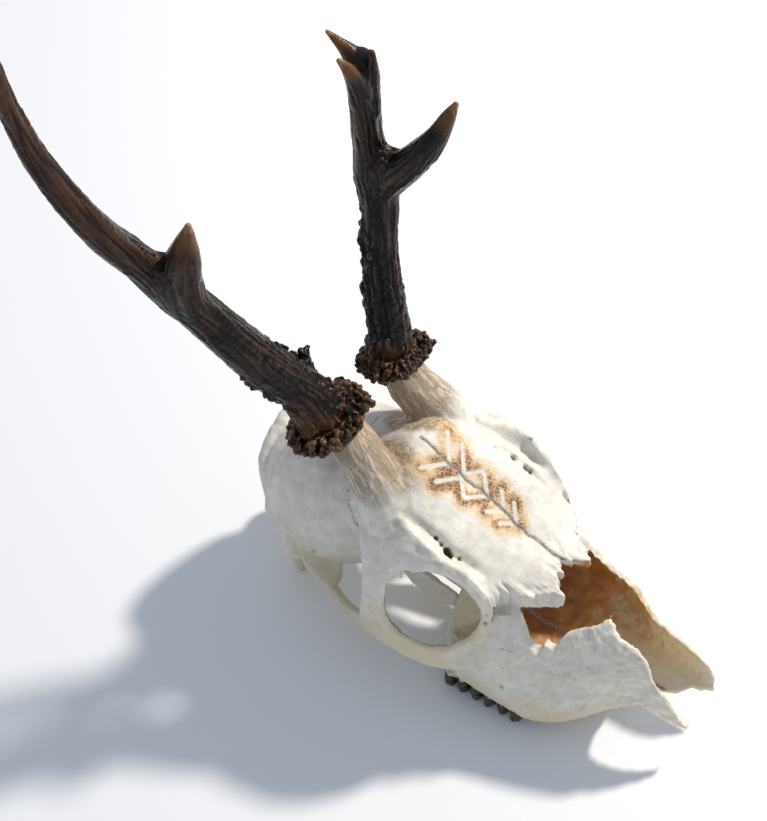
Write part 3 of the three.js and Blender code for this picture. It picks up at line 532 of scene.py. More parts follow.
skull = merged_copy("skull", CRANIUM_NODES + FRONTAL_NODES + ARCH_NODES + FACE_NODES)
without_teeth(skull)
with_lumps(skull, LUMPS)
move_vertices(skull.data, vertex_places(skull.data) + vertex_normals(skull.data) * GROW * MM)
mesh = fused(skull, BONE_VOXEL)
x, f, z = skull_places(vertex_places(mesh)).T
# Both sides of the skull folded onto one
q = np.stack([np.abs(x), f, z], axis=1)

RIM = [(37.2, 63.4, 52), (35.8, 68, 67), (31.6, 79, 74.2), (29, 92, 70.6), (27.6, 101, 58),
       (30.6, 100.4, 43.4), (35.8, 93.4, 34.4), (39.8, 84, 31.6), (41.2, 73, 33.6), (40.2, 65.6, 40.6)]
RIM_FACING = np.array([0.937, 0.188, 0.293])
ORBIT_MIDDLE = (29.6, 82.8, 53)
ARCH = [(25, 23, 33), (29.6, 31, 32.6), (34.6, 40, 32), (38.6, 49, 31.6), (40.8, 58, 31.8),
        (41.6, 67, 32), (41, 77, 30.4), (39, 87, 29)]
ARCH_ROOT = (29, 31, 36)
# Broken front edge of the frontal bones, as (x, f) seen from above
FRONTAL_EDGE = [(-24, 102), (-20, 105.5), (-17, 111.5), (-13, 117), (-10.2, 121.8), (-9, 117.4), (-7, 118.8),
                (-5.4, 115.4), (-3.8, 118.2), (-1, 114), (3, 118), (7, 121.8), (9, 119.8), (11, 116),
                (17, 112), (21, 109), (25, 104)]
rim_loop = np.array(RIM + RIM[:1])
rim_gap, rim_along = from_line(q, rim_loop)
arch_gap, _ = from_line(q, ARCH)
slender = np.maximum(smooth(6.5, 3.5, rim_gap), smooth(6.5, 3.5, arch_gap))
thin_wall = smooth(110, 122, f) * smooth(12, 20, z)
evened(mesh, 1 - 0.75 * slender - 0.3 * thin_wall * (1 - slender), SKIN_STEPS)
places = vertex_places(mesh) - vertex_normals(mesh) * GROW * MM
# The rim of the orbit lies flat on its outer side
q = skull_places(places)
away = np.sign(q[:, 0])
q[:, 0] *= away
steps = np.arange(len(rim_loop))
seat = np.stack([np.interp(rim_along * len(RIM), steps, column) for column in rim_loop.T], axis=1)
stands = ((q - seat) @ RIM_FACING) * smooth(7, 3.5, rim_gap)
outward = np.stack([away * RIM_FACING[0], 0 * away - RIM_FACING[1], 0 * away + RIM_FACING[2]], axis=1)
places -= outward * (0.5 * np.maximum(stands, 0) * MM)[:, None]
move_vertices(mesh, places)
rim_foot = smooth(10, 6, rim_gap) * smooth(54, 58, z)
filled_in(mesh, 0.9 * np.maximum(rim_foot, smooth(12, 8, gap_to(ARCH_ROOT, q))), SKIN_STEPS)

places, normals = vertex_places(mesh), vertex_normals(mesh)
points = skull_places(places)
x, f, z = points.T
q = np.stack([np.abs(x), f, z], axis=1)
facing = np.stack([normals[:, 0], -normals[:, 1], normals[:, 2]], axis=1)
upward = smooth(0.1, 0.5, facing[:, 2])
raise_by = np.zeros(len(points))


def ridge(line, width, height, where=1.0, on=q):
    gap, _ = from_line(on, line)
    return np.exp(-(gap / width) ** 2) * height * where


def pit(centre, radius, depth, on=points):
    return -depth * smooth(radius * 1.35, radius * 0.5, gap_to(centre, on))


def patch(centre, reach, on=points):
    """Soft round patch that fades out from its centre"""
    return np.exp(-(gap_to(centre, on) / reach) ** 2)


# Forehead and crown, with a channel over each orbit that has deep holes in it
broken_line = 1 + 0.5 * noise(points, 3.2, 14, 2)
raise_by += ridge([(24, 50, 89), (28, 56, 82.5), (33, 62, 76), (36, 67, 69)], 2.6, 0.7)
raise_by += ridge([(16, 45, 86), (21, 36, 78), (24, 24, 71), (20, 9, 66)], 2.2, 0.45)
raise_by += ridge([(26.6, 66, 83), (28.4, 76, 79.2), (28.8, 84, 76.4), (27, 92, 73)], 1.7, 1.3,
                  upward * broken_line)
raise_by += ridge([(31.5, 67, 74), (31, 75, 78), (30.4, 83, 77), (30, 91, 71)], 2.4, 2.0, 1.0, points)
raise_by -= ridge([(24.6, 68, 82), (25, 78, 78.4), (25.2, 88, 74.4)], 2.8, 1.5, upward, points)
# The suture down the middle wanders about SUTURE_X
SUTURE_X = 0.6
wiggle = noise(np.column_stack([f, 0 * f, 0 * f]), 2.2, 5, 3) * 0.4
off_suture = np.abs(x - SUTURE_X - wiggle)
raise_by -= 0.4 * np.exp(-(off_suture / 0.7) ** 2) * upward * smooth(55, 60, f)
raise_by -= ridge([(0, 66, 88), (0, 84, 78), (0, 100, 68)], 8, 0.6, upward)
raise_by += ridge([(9, 74, 83), (9, 90, 74), (8, 104, 66)], 6, 0.35, upward)
raise_by -= ridge([(-24.2, 66, 84), (-24, 78.5, 78.8), (-24.4, 86, 75.4), (-23, 93, 72)], 2.4, 1.0,
                  upward, points)
RIGHT_CHANNEL = [(-23.8, 70, 83.2), (-23.4, 78.5, 78.8), (-24.5, 84, 76.3), (-23.2, 90, 73.6),
                 (-22.4, 97, 70)]
LEFT_CHANNEL = [(21, 74, 81.6), (20.2, 83.9, 77.2), (20.3, 90, 73.7), (20.6, 97, 69.6)]
holes = -1.1 * broken_line * ridge(RIGHT_CHANNEL, 1.5, 1.0, upward, points)
holes -= 0.9 * broken_line * ridge(LEFT_CHANNEL, 1.2, 1.0, upward, points)
# Holes in the channels, and small openings in the cheeks and temples: (centre, radius, depth)
HOLES = [((-24.5, 84, 76.3), 1.4, 2.6), ((-24.9, 85.6, 75.6), 1.0, 2.4), ((-23.3, 78.5, 78.8), 0.8, 1.7),
         ((-24, 81, 77.6), 0.7, 1.2), ((-23.4, 88.6, 74.2), 0.7, 1.4), ((-23.5, 75.5, 80.6), 0.7, 1.2),
         ((20.2, 83.9, 77.2), 1.0, 1.8), ((20.2, 88.8, 74.4), 1.1, 1.8), ((20.4, 90.6, 73.4), 1.0, 2.0),
         ((18.3, 76.9, 80.2), 0.7, 1.0), ((-30.1, 101.8, 56.5), 1.1, 2.0), ((-29.4, 101.5, 51), 1.0, 1.8),
         ((30.1, 101.8, 56.5), 1.1, 2.0), ((-28.8, 26.5, 37.3), 1.0, 2.0), ((-29, 30.7, 39.1), 0.8, 1.6),
         ((28.8, 27.5, 38), 0.9, 1.8), ((-34.6, 112, 24), 1.0, 1.6), ((34.6, 113, 24), 1.1, 1.6)]
for centre, radius, depth in HOLES:
    holes += pit(centre, radius, depth)
raise_by += holes
# Uneven plates inside the front wall of the orbit
in_orbit = smooth(22, 17, gap_to(ORBIT_MIDDLE, q)) * smooth(-0.1, 0.35, -facing[:, 1])
raise_by += in_orbit * smooth(3, 6, rim_gap) * (0.7 * np.abs(noise(points, 4.5, 23, 2)) - 0.3)
# Cheek, tear pit in front of the orbit and the crest over the tooth row
raise_by -= patch((29, 107, 49), 7, q)
raise_by += ridge([(36, 96, 28), (35, 105, 25), (34, 113, 19), (33, 121, 15)], 3, 0.8)
raise_by += ridge([(38, 92, 36), (36.5, 99, 33), (34, 106, 32)], 1.6, 0.6, broken_line)
# Hollow of the temple and the lobes round the ear
raise_by -= patch((24, 50, 55), 9, q) * 0.8
raise_by += pit((28.6, 17, 31), 3.0, 2.4, q)
raise_by += ridge([(27, 15, 44), (30, 24, 41), (31, 33, 38)], 1.8, 0.9, broken_line)
# Back of the head
raise_by += ridge([(0, 0, 64), (8, 0.4, 64.5), (16.4, 1.4, 59.6), (22.5, 7, 48)], 1.4, 0.8, broken_line)
raise_by += ridge([(0, -1, 60), (0, -1, 48)], 1.8, 0.5)
# Small knobs along the brow and the rims
raise_by += 0.5 * np.maximum(noise(points, 3.4, 15, 2), 0) * smooth(7, 3, rim_gap)

heave = noise(points, 13, 1, 2) * 0.28 + noise(points, 4.5, 2, 2) * 0.12 + noise(points, 1.7, 3, 2) * 0.07
places = places + normals * ((raise_by + heave) * MM)[:, None]

# Tan wrinkled skin of each pedicle, with its grain running up to the burr
PEDICLES = ([(-20.6, 60, 74), (-18.8, 52.6, 85), (-17, 44.4, 94), (-16.4, 32.6, 105.5)],
            [(20.6, 60, 74), (18.8, 52.6, 85), (17, 44.4, 94), (15.9, 36.8, 107)])
# How much longer than wide the wrinkles are
WRINKLE_STRETCH = 7
tan = np.zeros(len(points))
grain = points.copy()
for number, line in enumerate(PEDICLES):
    gap, along = from_line(points, line)
    near = smooth(0.05, 0.55, along + 0.12 * noise(points, 9, 17 + number, 2)) * smooth(19, 13, gap)
    inner = np.abs(x) < np.interp(f, (30, 60), (16.5, 20.5))
    near *= np.where(inner, 1, 0.65 + 0.35 * smooth(0.6, 1.0, along))
    axis = np.array(line[3]) - np.array(line[0])
    axis /= np.linalg.norm(axis)
    stretched = points - np.outer(points @ axis, axis) * (WRINKLE_STRETCH - 1) / WRINKLE_STRETCH
    here = gap < 22
    grain[here] = stretched[here]
    tan = np.maximum(tan, near)
    places += normals * (near * noise(stretched, 2.0, 7 + number, 2) * 0.16 * MM)[:, None]

# Broken edges of the snout and of the frontal bones
broken = smooth(104, 120, f) * smooth(13, 18, z)
drift = np.column_stack([noise(points, 2.4, seed, 2) for seed in (11, 12, 13)])
gnawed = smooth(15, 9, z) * smooth(108, 116, f)
places += drift * ((0.45 * broken + 0.8 * gnawed) * MM)[:, None]
edge_gap, _ = from_line(np.column_stack([x, f, 0 * f]), [(ex, ef, 0) for ex, ef in FRONTAL_EDGE])
splinters = smooth(4.5, 0.6, edge_gap) * smooth(54, 57, z) * smooth(99, 103, f)
places[:, 1] -= splinters * noise(np.column_stack([x, 0 * f, 0 * f]), 1.5, 19, 2) * 1.5 * MM
move_vertices(mesh, places)
evened(mesh, np.full(len(places), 0.6), 2)
kept_in_box(mesh)
stands_out = bulge(mesh, 6)

# Colour fields
in_nose = smooth(100, 103, f) * smooth(175, 168, f) * smooth(14, 16.5, z)
under_roof = in_nose * smooth(-0.1, -0.45, facing[:, 2]) * smooth(24, 20, q[:, 0])
to_nose_axis = np.column_stack([-x, 0 * f, 36 - z])
towards_axis = (to_nose_axis * facing).sum(axis=1)
walls = in_nose * smooth(1, 4, towards_axis) * smooth(30, 27, q[:, 0])
nasal = np.maximum(under_roof, walls)
store(mesh, "nasal", nasal)
depth = 0.75 * smooth(172, 104, f) + 0.35 * smooth(132, 108, f)
store(mesh, "nasal_depth", depth + 0.15 * noise(points, 6, 21, 2))
edge_cream = smooth(0.08, 0.4, stands_out)
warm = 0.3 * smooth(66, 40, z) + 0.4 * smooth(9, 4, arch_gap) + 0.5 * smooth(26, 9, z) + 0.8 * in_orbit
warm = warm + 0.25 * edge_cream * smooth(96, 110, f) + 0.2 * smooth(5, 2.5, rim_gap)
store(mesh, "warm", warm)
# Darker brown-grey band along the right brow, from the pedicle to the orbit rim
BROW_DARK_BAND = [(-15.5, 42, 99), (-15.8, 50, 96), (-16.4, 59.8, 89.4), (-20.5, 63, 86.5), (-25.9, 65.6, 82.1)]
# Darker round the foot of each burr
throat = sum(patch(line[3], 9) for line in PEDICLES)
# Painted shade in the hollows of the bone
hollow = smooth(-0.05, -0.3, stands_out)
stain_and_shade = 0.4 * ridge(BROW_DARK_BAND, 2.6, 1.0, 1.0, points) + 0.3 * throat + 0.3 * hollow * smooth(10, 30, f)
# Painted shade at the back of the cheek arches, next to the braincase
stain_and_shade = stain_and_shade + 0.4 * smooth(7, 3, arch_gap) * smooth(70, 50, f)
# Painted shade on the inner faces of the lower orbit rims
seen_from_outside = (facing * RIM_FACING * np.stack([np.sign(x), 0 * x + 1, 0 * x + 1], axis=1)).sum(axis=1)
stain_and_shade = stain_and_shade + 0.9 * smooth(11, 7, rim_gap) * smooth(60, 48, z) * smooth(0.55, 0.1, seen_from_outside)
store(mesh, "stain_and_shade", np.clip(stain_and_shade, 0, 1))
store(mesh, "tan", np.clip(evenly(mesh, tan, 8), 0, 1))
store_vector(mesh, "grain", grain)
# Painted shade: faint mauve patches under and between the burrs, as (centre, reach, strength)
MAUVE_SHADE = [((-17, 32, 80), 7, 0.75), ((-2, 44, 88), 9, 0.6), ((17, 36, 82), 7, 0.6), ((-24, 36, 66), 14, 0.15)]
mauve_shade = sum(strength * patch(centre, reach) for centre, reach, strength in MAUVE_SHADE)
store(mesh, "mauve_shade", np.clip(mauve_shade, 0, 1))
# Painted shade in the deep holes, darker the deeper they are
store(mesh, "hole_shade", smooth(1.1, 2.6, -holes))

# The skull is parted in front of the braincase along a plane that faces CROWN_FACING, as (f, z)
CROWN_FACING, CROWN_CUT = (math.cos(math.pi / 6), 0.5), 72.35


def past_crown_cut(f, z):
    return f * CROWN_FACING[0] + z * CROWN_FACING[1] - CROWN_CUT


# Seams of the temple, cheek, tear bone and brow: (line, wander, fineness)
SEAMS = [([(28, 20, 44), (29.5, 28, 52), (27.5, 38, 54), (25, 46, 50), (21, 54, 42)], 0.7, 1.2),
         ([(37.6, 95.1, 32.4), (34.1, 103.1, 31.9), (32.5, 110.2, 33.4), (30.1, 116.8, 33.1)], 0.9, 1.0),
         ([(33, 99.3, 39.3), (30.4, 108.6, 41.3), (26.9, 114.5, 41.7)], 0.6, 1.4),
         ([(28, 98, 66), (27, 104, 60), (24, 108, 58), (19, 112, 59)], 0.7, 1.3)]
midline = off_suture + 8 * (1 - smooth(0.2, 0.35, facing[:, 2])) + np.clip(57 - f, 0, 9) * 2
crown_seam = np.abs(past_crown_cut(f, z) + noise(points, 3, 6, 3) * 0.9) + 20 * smooth(56, 50, z)
nape_seam = np.abs(f - 8.6 + noise(points, 2.6, 8, 3) * 0.9) + 6 * smooth(58, 52, z)
suture = np.minimum.reduce([midline * 0.8, crown_seam * 1.2, nape_seam * 1.4] + [
    from_line(q + wander * drift, line)[0] * fineness for line, wander, fineness in SEAMS])
store(mesh, "suture", np.clip(suture + 6 * nasal, 0, 4))
store(mesh, "band", np.clip(midline, 0, 4))

# Ornament on the forehead: chevrons on both sides of the midline, left pale in a scorched ground.
# Its places are (across, along) in millimetres, along the forehead's slope from its start, both as (f, z).
# Each chevron is (reach, foot, top): two bars that rise from the foot at the sides to the top in the middle.
CHEVRONS = [(9, 2, 9), (9, 9, 16), (6.5, 20, 26), (6.5, 20, 14.5), (5, 29, 34), (5, 35, 40)]
BAR_HALF_WIDTH = 0.75
SLOPE_START, SLOPE = (62, 91.5), (0.84, -0.54)
across = x - SUTURE_X
along = (f - SLOPE_START[0]) * SLOPE[0] + (z - SLOPE_START[1]) * SLOPE[1]
flat = np.column_stack([across, along, 0 * f])
bar_gap = np.min([from_line(flat, [(side * reach, foot, 0), (0, top, 0)])[0]
                  for reach, foot, top in CHEVRONS for side in (-1, 1)], axis=0)
on_top = smooth(0.25, 0.5, facing[:, 2]) * smooth(56, 62, z)
patches = 0.85 + 0.6 * noise(points, 6, 41, 2)
store(mesh, "scorch", np.clip(smooth(7.5, 0.2, bar_gap) * patches * on_top, 0, 1))
store(mesh, "bare", smooth(BAR_HALF_WIDTH + 0.25, BAR_HALF_WIDTH - 0.15, bar_gap) * on_top)

# The pieces of the skull, with the solids that each stands for
BONES = {"cranium": CRANIUM_NODES, "frontals": FRONTAL_NODES, "cheek_right": ARCH_NODES[:1],
         "cheek_left": ARCH_NODES[1:], "snout_right": FACE_NODES[:1], "snout_left": FACE_NODES[1:]}
SLOTS = {"cranium": "skull_bone", "frontals": "skull_bone"}
# Where they part: the middle of the cut behind the face, the underside of the frontal bones, and the
# boxes outside ARCH_X that hold the cheek arches, as lowest and highest f and z
FACE_CUT, FRONTAL_FLOOR, ARCH_X = 84.6, 56.2, 29.6
ARCH_BOXES = ((22, 60, 20, 38), (52, 96, 14, 56.2))


def parted(piece):
    """Parts the skin where the solids are parted, with one shading across the joints"""
    mesh = piece.data
    shading = mesh.attributes.new("shading", "FLOAT_VECTOR", "POINT")
    shading.data.foreach_set("vector", vertex_normals(mesh).astype(np.float32).ravel())
    centres = np.zeros(len(mesh.polygons) * 3, np.float32)
    mesh.polygons.foreach_get("center", centres)
    x, f, z = skull_places(centres.reshape(-1, 3).astype(float)).T
    cheek = (np.abs(x) > ARCH_X) & np.any([(f > back) & (f < front) & (z > low) & (z < high)
                                           for back, front, low, high in ARCH_BOXES], axis=0)
    brow = (past_crown_cut(f, z) > 0) & (z > FRONTAL_FLOOR)
    right = x < 0
    part = np.where(cheek, np.where(right, 2, 3),
                    np.where(brow, 1, np.where(f > FACE_CUT, np.where(right, 4, 5), 0)))
    mesh.materials.clear()
    for _ in BONES:
        mesh.materials.append(BONE)
    mesh.polygons.foreach_set("material_index", part.astype(np.int32))
    mesh.attributes.new("part", "INT", "FACE").data.foreach_set("value", part.astype(np.int32))
    bpy.context.view_layer.objects.active = piece
    piece.select_set(True)
    bpy.ops.object.mode_set(mode="EDIT")
    bpy.ops.mesh.separate(type="MATERIAL")
    bpy.ops.object.mode_set(mode="OBJECT")


before = set(bpy.data.objects)
parted(skull)
for piece in [skull] + [made for made in bpy.data.objects if made not in before]:
    mesh = piece.data
    name, nodes = list(BONES.items())[mesh.attributes["part"].data[0].value]
    mesh.attributes.remove(mesh.attributes["part"])
    piece.name = name
    mesh.name = name
    shading = np.zeros(len(mesh.vertices) * 3, np.float32)
    mesh.attributes["shading"].data.foreach_get("vector", shading)
    mesh.polygons.foreach_set("material_index", np.zeros(len(mesh.polygons), np.int32))
    shaded_smooth(mesh)
    mesh.normals_split_custom_set_from_vertices(shading.reshape(-1, 3).tolist())
    mesh.attributes.remove(mesh.attributes["shading"])
    finished(piece, SLOTS.get(name, "face_bone"), BONE, *nodes)
    print(name, len(mesh.polygons))


# Antlers: each length is (x, f, z, radius) along its middle
LOWER_RIGHT = [(-16.4, 32.6, 103, 10.6), (-18, 29.6, 109.4, 9), (-20.8, 24.6, 120, 8.1), (-28, 15.8, 135, 8),
               (-33, 10.6, 147, 7.4), (-38.6, 3, 162, 6.6), (-43, -1.8, 172, 6.5)]
UPPER_RIGHT = [(-43, -1.8, 172, 6.5), (-48.6, -8, 187, 5.6), (-55.6, -13.6, 202, 5), (-60, -20.6, 218, 4.4),
               (-62.6, -27, 236, 3.5), (-63.4, -30, 254, 2.7), (-63, -30.4, 270, 1.9),
               (-61.6, -28.4, 286, 0.8)]
FRONT_TINE_RIGHT = [(-40.4, 1, 166.5, 6.2), (-42, 0.9, 173, 6.5), (-43.2, 2, 181, 6.4),
                    (-43.3, 3.9, 189, 5.6), (-42.6, 5.2, 195, 4.1), (-42, 6.1, 199.8, 2.5),
                    (-41.4, 6.9, 204.6, 0.8)]
LOWER_LEFT = [(15.9, 37.4, 103, 9), (16.4, 36.6, 110, 7.4), (17.6, 35.6, 118, 6.7), (20.3, 31.4, 133, 6.3),
              (24.2, 27.5, 146.5, 6.1), (26, 26.3, 155.4, 6.1), (28, 25.2, 162.1, 6.5),
              (29.2, 23.8, 167.5, 6.8)]
UPPER_LEFT = [(29.2, 23.8, 167.5, 6.8), (29.8, 21.5, 174.6, 6.2), (29.6, 20.8, 182, 5.6),
              (29, 20.3, 190.5, 5.1), (28, 20.4, 197.7, 4.7), (26.6, 20.5, 205.1, 4.3),
              (24.4, 20.5, 212.9, 3.4), (22, 19.7, 219.1, 2.3), (18.8, 17.9, 225, 0.7)]
REAR_TINE_LEFT = [(29.6, 20, 191.5, 5), (30, 19.2, 204, 4.9), (29.8, 18.6, 215.2, 5),
                  (29.4, 15.9, 218.1, 3.3), (29, 13.1, 220.6, 2.1), (28.4, 7.3, 224.6, 0.6)]
CORNER_LEFT = [(29, 22.6, 199.6, 3), (29, 22.7, 214.3, 2.5), (29, 23.1, 222.9, 1.3)]
FRONT_TINE_LEFT = [(29.6, 23.6, 167.9, 6.6), (29.4, 29.1, 175.4, 6), (29.4, 33.9, 181.8, 5.6),
                   (29.6, 38.2, 187.9, 5), (30.2, 42, 194, 4.3), (31.4, 45.1, 200.3, 3.3),
                   (33, 47, 205.8, 2.4), (35.6, 48.4, 210.4, 0.8)]
# Bone that fills the crotches of the two large forks
WEB_RIGHT = [(-44, -1, 176, 6), (-45, -2, 182, 5.6), (-46, -3, 187.4, 4.6)]
WEB_LEFT = [(29.4, 26, 172, 5.5), (29.4, 28, 178.5, 5.5), (29.4, 30.4, 184.2, 4.7)]
# Burrs: place, radius and the direction that each ring faces
BURRS = {"right": (-16.4, 32.6, 105.5, 14.2, (-0.24, -0.42, 0.88)),
         "left": (15.9, 36.8, 107, 12.4, (0.1, -0.3, 0.95))}
BURR_HEIGHT, BURR_KNOBS = 4.4, 420
# Side on which each burr flares out, and by how much
FLARE = {"right": ((-0.66, -0.6, -0.45), 3.2), "left": ((0.85, 0.2, 0.1), 1.6)}
# Side of a length from which its furrows are counted round, and how much longer than wide they are
FURROW_FRONT, FURROW_STRETCH = np.array([0, 1, 0.2]), 11
# Length left, in millimetres, on a length that runs on into another
NO_TIP = 60


def rounded(line, steps=12):
    """A smooth line through the given places, with the radius as fourth value"""
    line = np.array(line, float)
    padded = np.vstack([2 * line[0] - line[1], line, 2 * line[-1] - line[-2]])
    out = []
    for i in range(1, len(padded) - 2):
        before, start, end, after = padded[i - 1:i + 3]
        for t in np.arange(steps) / steps:
            out.append(0.5 * (2 * start + (end - before) * t
                              + (2 * before - 5 * start + 4 * end - after) * t ** 2
                              + (3 * start - before - 3 * end + after) * t ** 3))
    return np.array(out + [line[-1]])


def tube(lines):
    """Closed tubes along smooth lines, each with its own radius from place to place"""
    data = bpy.data.curves.new("lengths", "CURVE")
    data.dimensions = "3D"
    data.bevel_depth = MM
    data.bevel_resolution = 6
    data.use_fill_caps = True
    for line in lines:
        spline = data.splines.new("POLY")
        spline.points.add(len(line) - 1)
        for point, (px, pf, pz, radius) in zip(spline.points, line):
            point.co = (*spot(px, pf, pz), 1)
            point.radius = radius
    holder = linked("lengths", data)
    mesh = bpy.data.meshes.new_from_object(holder.evaluated_get(bpy.context.evaluated_depsgraph_get()))
    bpy.data.objects.remove(holder)
    return mesh


def grains(bm, rng, line, count, reach, favoured, spread, biggest):
    """Pearls: rounded grains sunk in the beam, thickest low down and on its favoured side"""
    favoured = Vector(favoured).normalized()
    for i in range(count):
        t = 0.05 + reach * (i / count) ** 1.15
        k = min(int(t * (len(line) - 1)), len(line) - 2)
        place, ahead = spot(*line[k][:3]), (spot(*line[k + 1][:3]) - spot(*line[k][:3])).normalized()
        side = (favoured - ahead * favoured.dot(ahead)).normalized()
        side.rotate(Matrix.Rotation(rng.normal(0, spread), 3, ahead))
        size = biggest * (0.4 + 0.6 * rng.random() ** 1.5) * (1 - 0.5 * i / count) * MM
        centre = place + side * (line[k][3] * MM + 0.1 * size)
        shape = (Matrix.Translation(centre) @ ahead.to_track_quat("Z", "X").to_matrix().to_4x4()
                 @ Matrix.Diagonal((size * (0.7 + 0.4 * rng.random()), size * 0.8,
                                    size * (0.8 + 0.9 * rng.random()), 1)))
        bmesh.ops.create_icosphere(bm, subdivisions=2, radius=1, matrix=shape)


def antler(name, lengths, pearls, knobs, nodes, seed, tips):
    """One antler: tubes fused at their forks, then pearls and knobs, then furrows along every length"""
    rng = np.random.default_rng(seed)
    lines = [rounded(length) for length in lengths]
    piece = linked(name, tube(lines))
    mesh = fused(piece, TUBE_VOXEL)
    filled_in(mesh, np.full(len(mesh.vertices), 0.95), FORK_STEPS)
    bm = bmesh.new()
    bm.from_mesh(mesh)
    for count, reach, favoured, spread, biggest in pearls:
        grains(bm, rng, lines[0], count, reach, favoured, spread, biggest)
    for place, size in knobs:
        bmesh.ops.create_icosphere(bm, subdivisions=2, radius=size * MM,
                                   matrix=Matrix.Translation(spot(*place)))
    bm.to_mesh(mesh)
    bm.free()
    mesh = fused(piece, ANTLER_VOXEL)
    evened(mesh, np.ones(len(mesh.vertices)), 3)
    places, normals = vertex_places(mesh), vertex_normals(mesh)
    points = skull_places(places)
    share, waves, furrow, length_left = [], [], [], []
    for number, line in enumerate(lines):
        gap, t = from_line(points, line[:, :3])
        k = np.minimum((t * (len(line) - 1)).astype(int), len(line) - 2)
        ahead = line[k + 1, :3] - line[k, :3]
        ahead /= np.linalg.norm(ahead, axis=1)[:, None]
        off = points - line[k, :3]
        off -= (off * ahead).sum(axis=1)[:, None] * ahead
        front = FURROW_FRONT - ahead * (ahead @ FURROW_FRONT)[:, None]
        front /= np.linalg.norm(front, axis=1)[:, None]
        side = np.cross(ahead, front)
        run = np.concatenate([[0], np.cumsum(np.linalg.norm(np.diff(line[:, :3], axis=0), axis=1))])
        lengthwise = np.column_stack([(off * front).sum(axis=1), (off * side).sum(axis=1),
                                      run[k] / FURROW_STRETCH + 9 * number])
        share.append(np.maximum(gap / line[k, 3], 0.3))
        waves.append(noise(lengthwise, 2.3, seed + 1, 2))
        furrow.append(np.exp(-(noise(lengthwise, 1.7, seed + 2, 1) / 0.15) ** 2))
        length_left.append(run[-1] - run[k] if tips[number] else 0 * gap + NO_TIP)
    # Each place follows the lengths that it lies nearest to
    weight = np.array(share) ** -8.0
    weight /= weight.sum(axis=0)
    waves, furrow, length_left = ((weight * np.array(values)).sum(axis=0)
                                  for values in (waves, furrow, length_left))
    strength = smooth(3, 30, length_left) * 0.85 + 0.15
    rough = noise(points, 1.6, seed + 3, 2)
    low_down = smooth(70, 10, points[:, 2] - lines[0][0, 2])
    lift = strength * (0.45 * waves - 0.42 * furrow + (0.12 + 0.2 * low_down) * rough)
    move_vertices(mesh, places + normals * (lift * MM)[:, None])
    kept_in_box(mesh)
    stands_out = bulge(mesh, 4)
    store(mesh, "furrow", np.clip(furrow * strength + smooth(-0.05, -0.25, stands_out), 0, 1))
    high_up = smooth(150, 235, points[:, 2]) * smooth(12, 30, -points[:, 0])
    patchy = 0.3 * noise(points, 12, seed + 4, 2)
    store(mesh, "worn", smooth(0, 0.22, stands_out) + 0.3 * waves + patchy + 0.7 * high_up)
    store(mesh, "tip", smooth(17, 0.5, length_left))
    foot = points[:, 2] - lines[0][0, 2] + 5 * noise(points, 5, seed + 5)
    dusty = 0.55 * smooth(15, 7, foot) + 0.9 * smooth(0.22, 0.4, stands_out) * low_down
    store(mesh, "ash", np.clip(dusty, 0, 1))
    shaded_smooth(mesh)
    print(name, len(mesh.polygons))
    return finished(piece, "antler", ANTLER, *nodes)


# Pearls: (count, reach up the beam, favoured side, spread, size); knobs: (place, radius); and whether
# each length ends in a tip
antler("antler_right", [LOWER_RIGHT, UPPER_RIGHT, FRONT_TINE_RIGHT, WEB_RIGHT],
       [(75, 0.62, (0.74, 0.39, 0.54), 0.4, 1.7), (85, 0.5, (-0.7, 0.5, -0.5), 0.6, 2.0),
        (80, 0.35, (0, 0, 1), 3.0, 1.6)],
       [((-15.2, 25, 123.6), 2), ((-14.3, 24.2, 125.2), 1.5), ((-13.6, 23.2, 126.8), 1.3),
        ((-12.8, 21.8, 128.4), 1.7), ((-11.4, 21.6, 129.2), 1.5), ((-14, 20.6, 129.4), 1.6)],
       RIGHT_ANTLER, 31, (False, True, True, False))
antler("antler_left", [LOWER_LEFT, UPPER_LEFT, REAR_TINE_LEFT, CORNER_LEFT, FRONT_TINE_LEFT, WEB_LEFT],
       [(90, 0.72, (-0.47, 0.88, 0.1), 0.42, 3.9), (50, 0.9, (-0.47, 0.88, 0.1), 0.4, 1.6),
        (60, 0.5, (0.3, -0.9, 0.1), 1.2, 1.4)],
       [], LEFT_ANTLER, 33, (False, True, True, False, True, False))


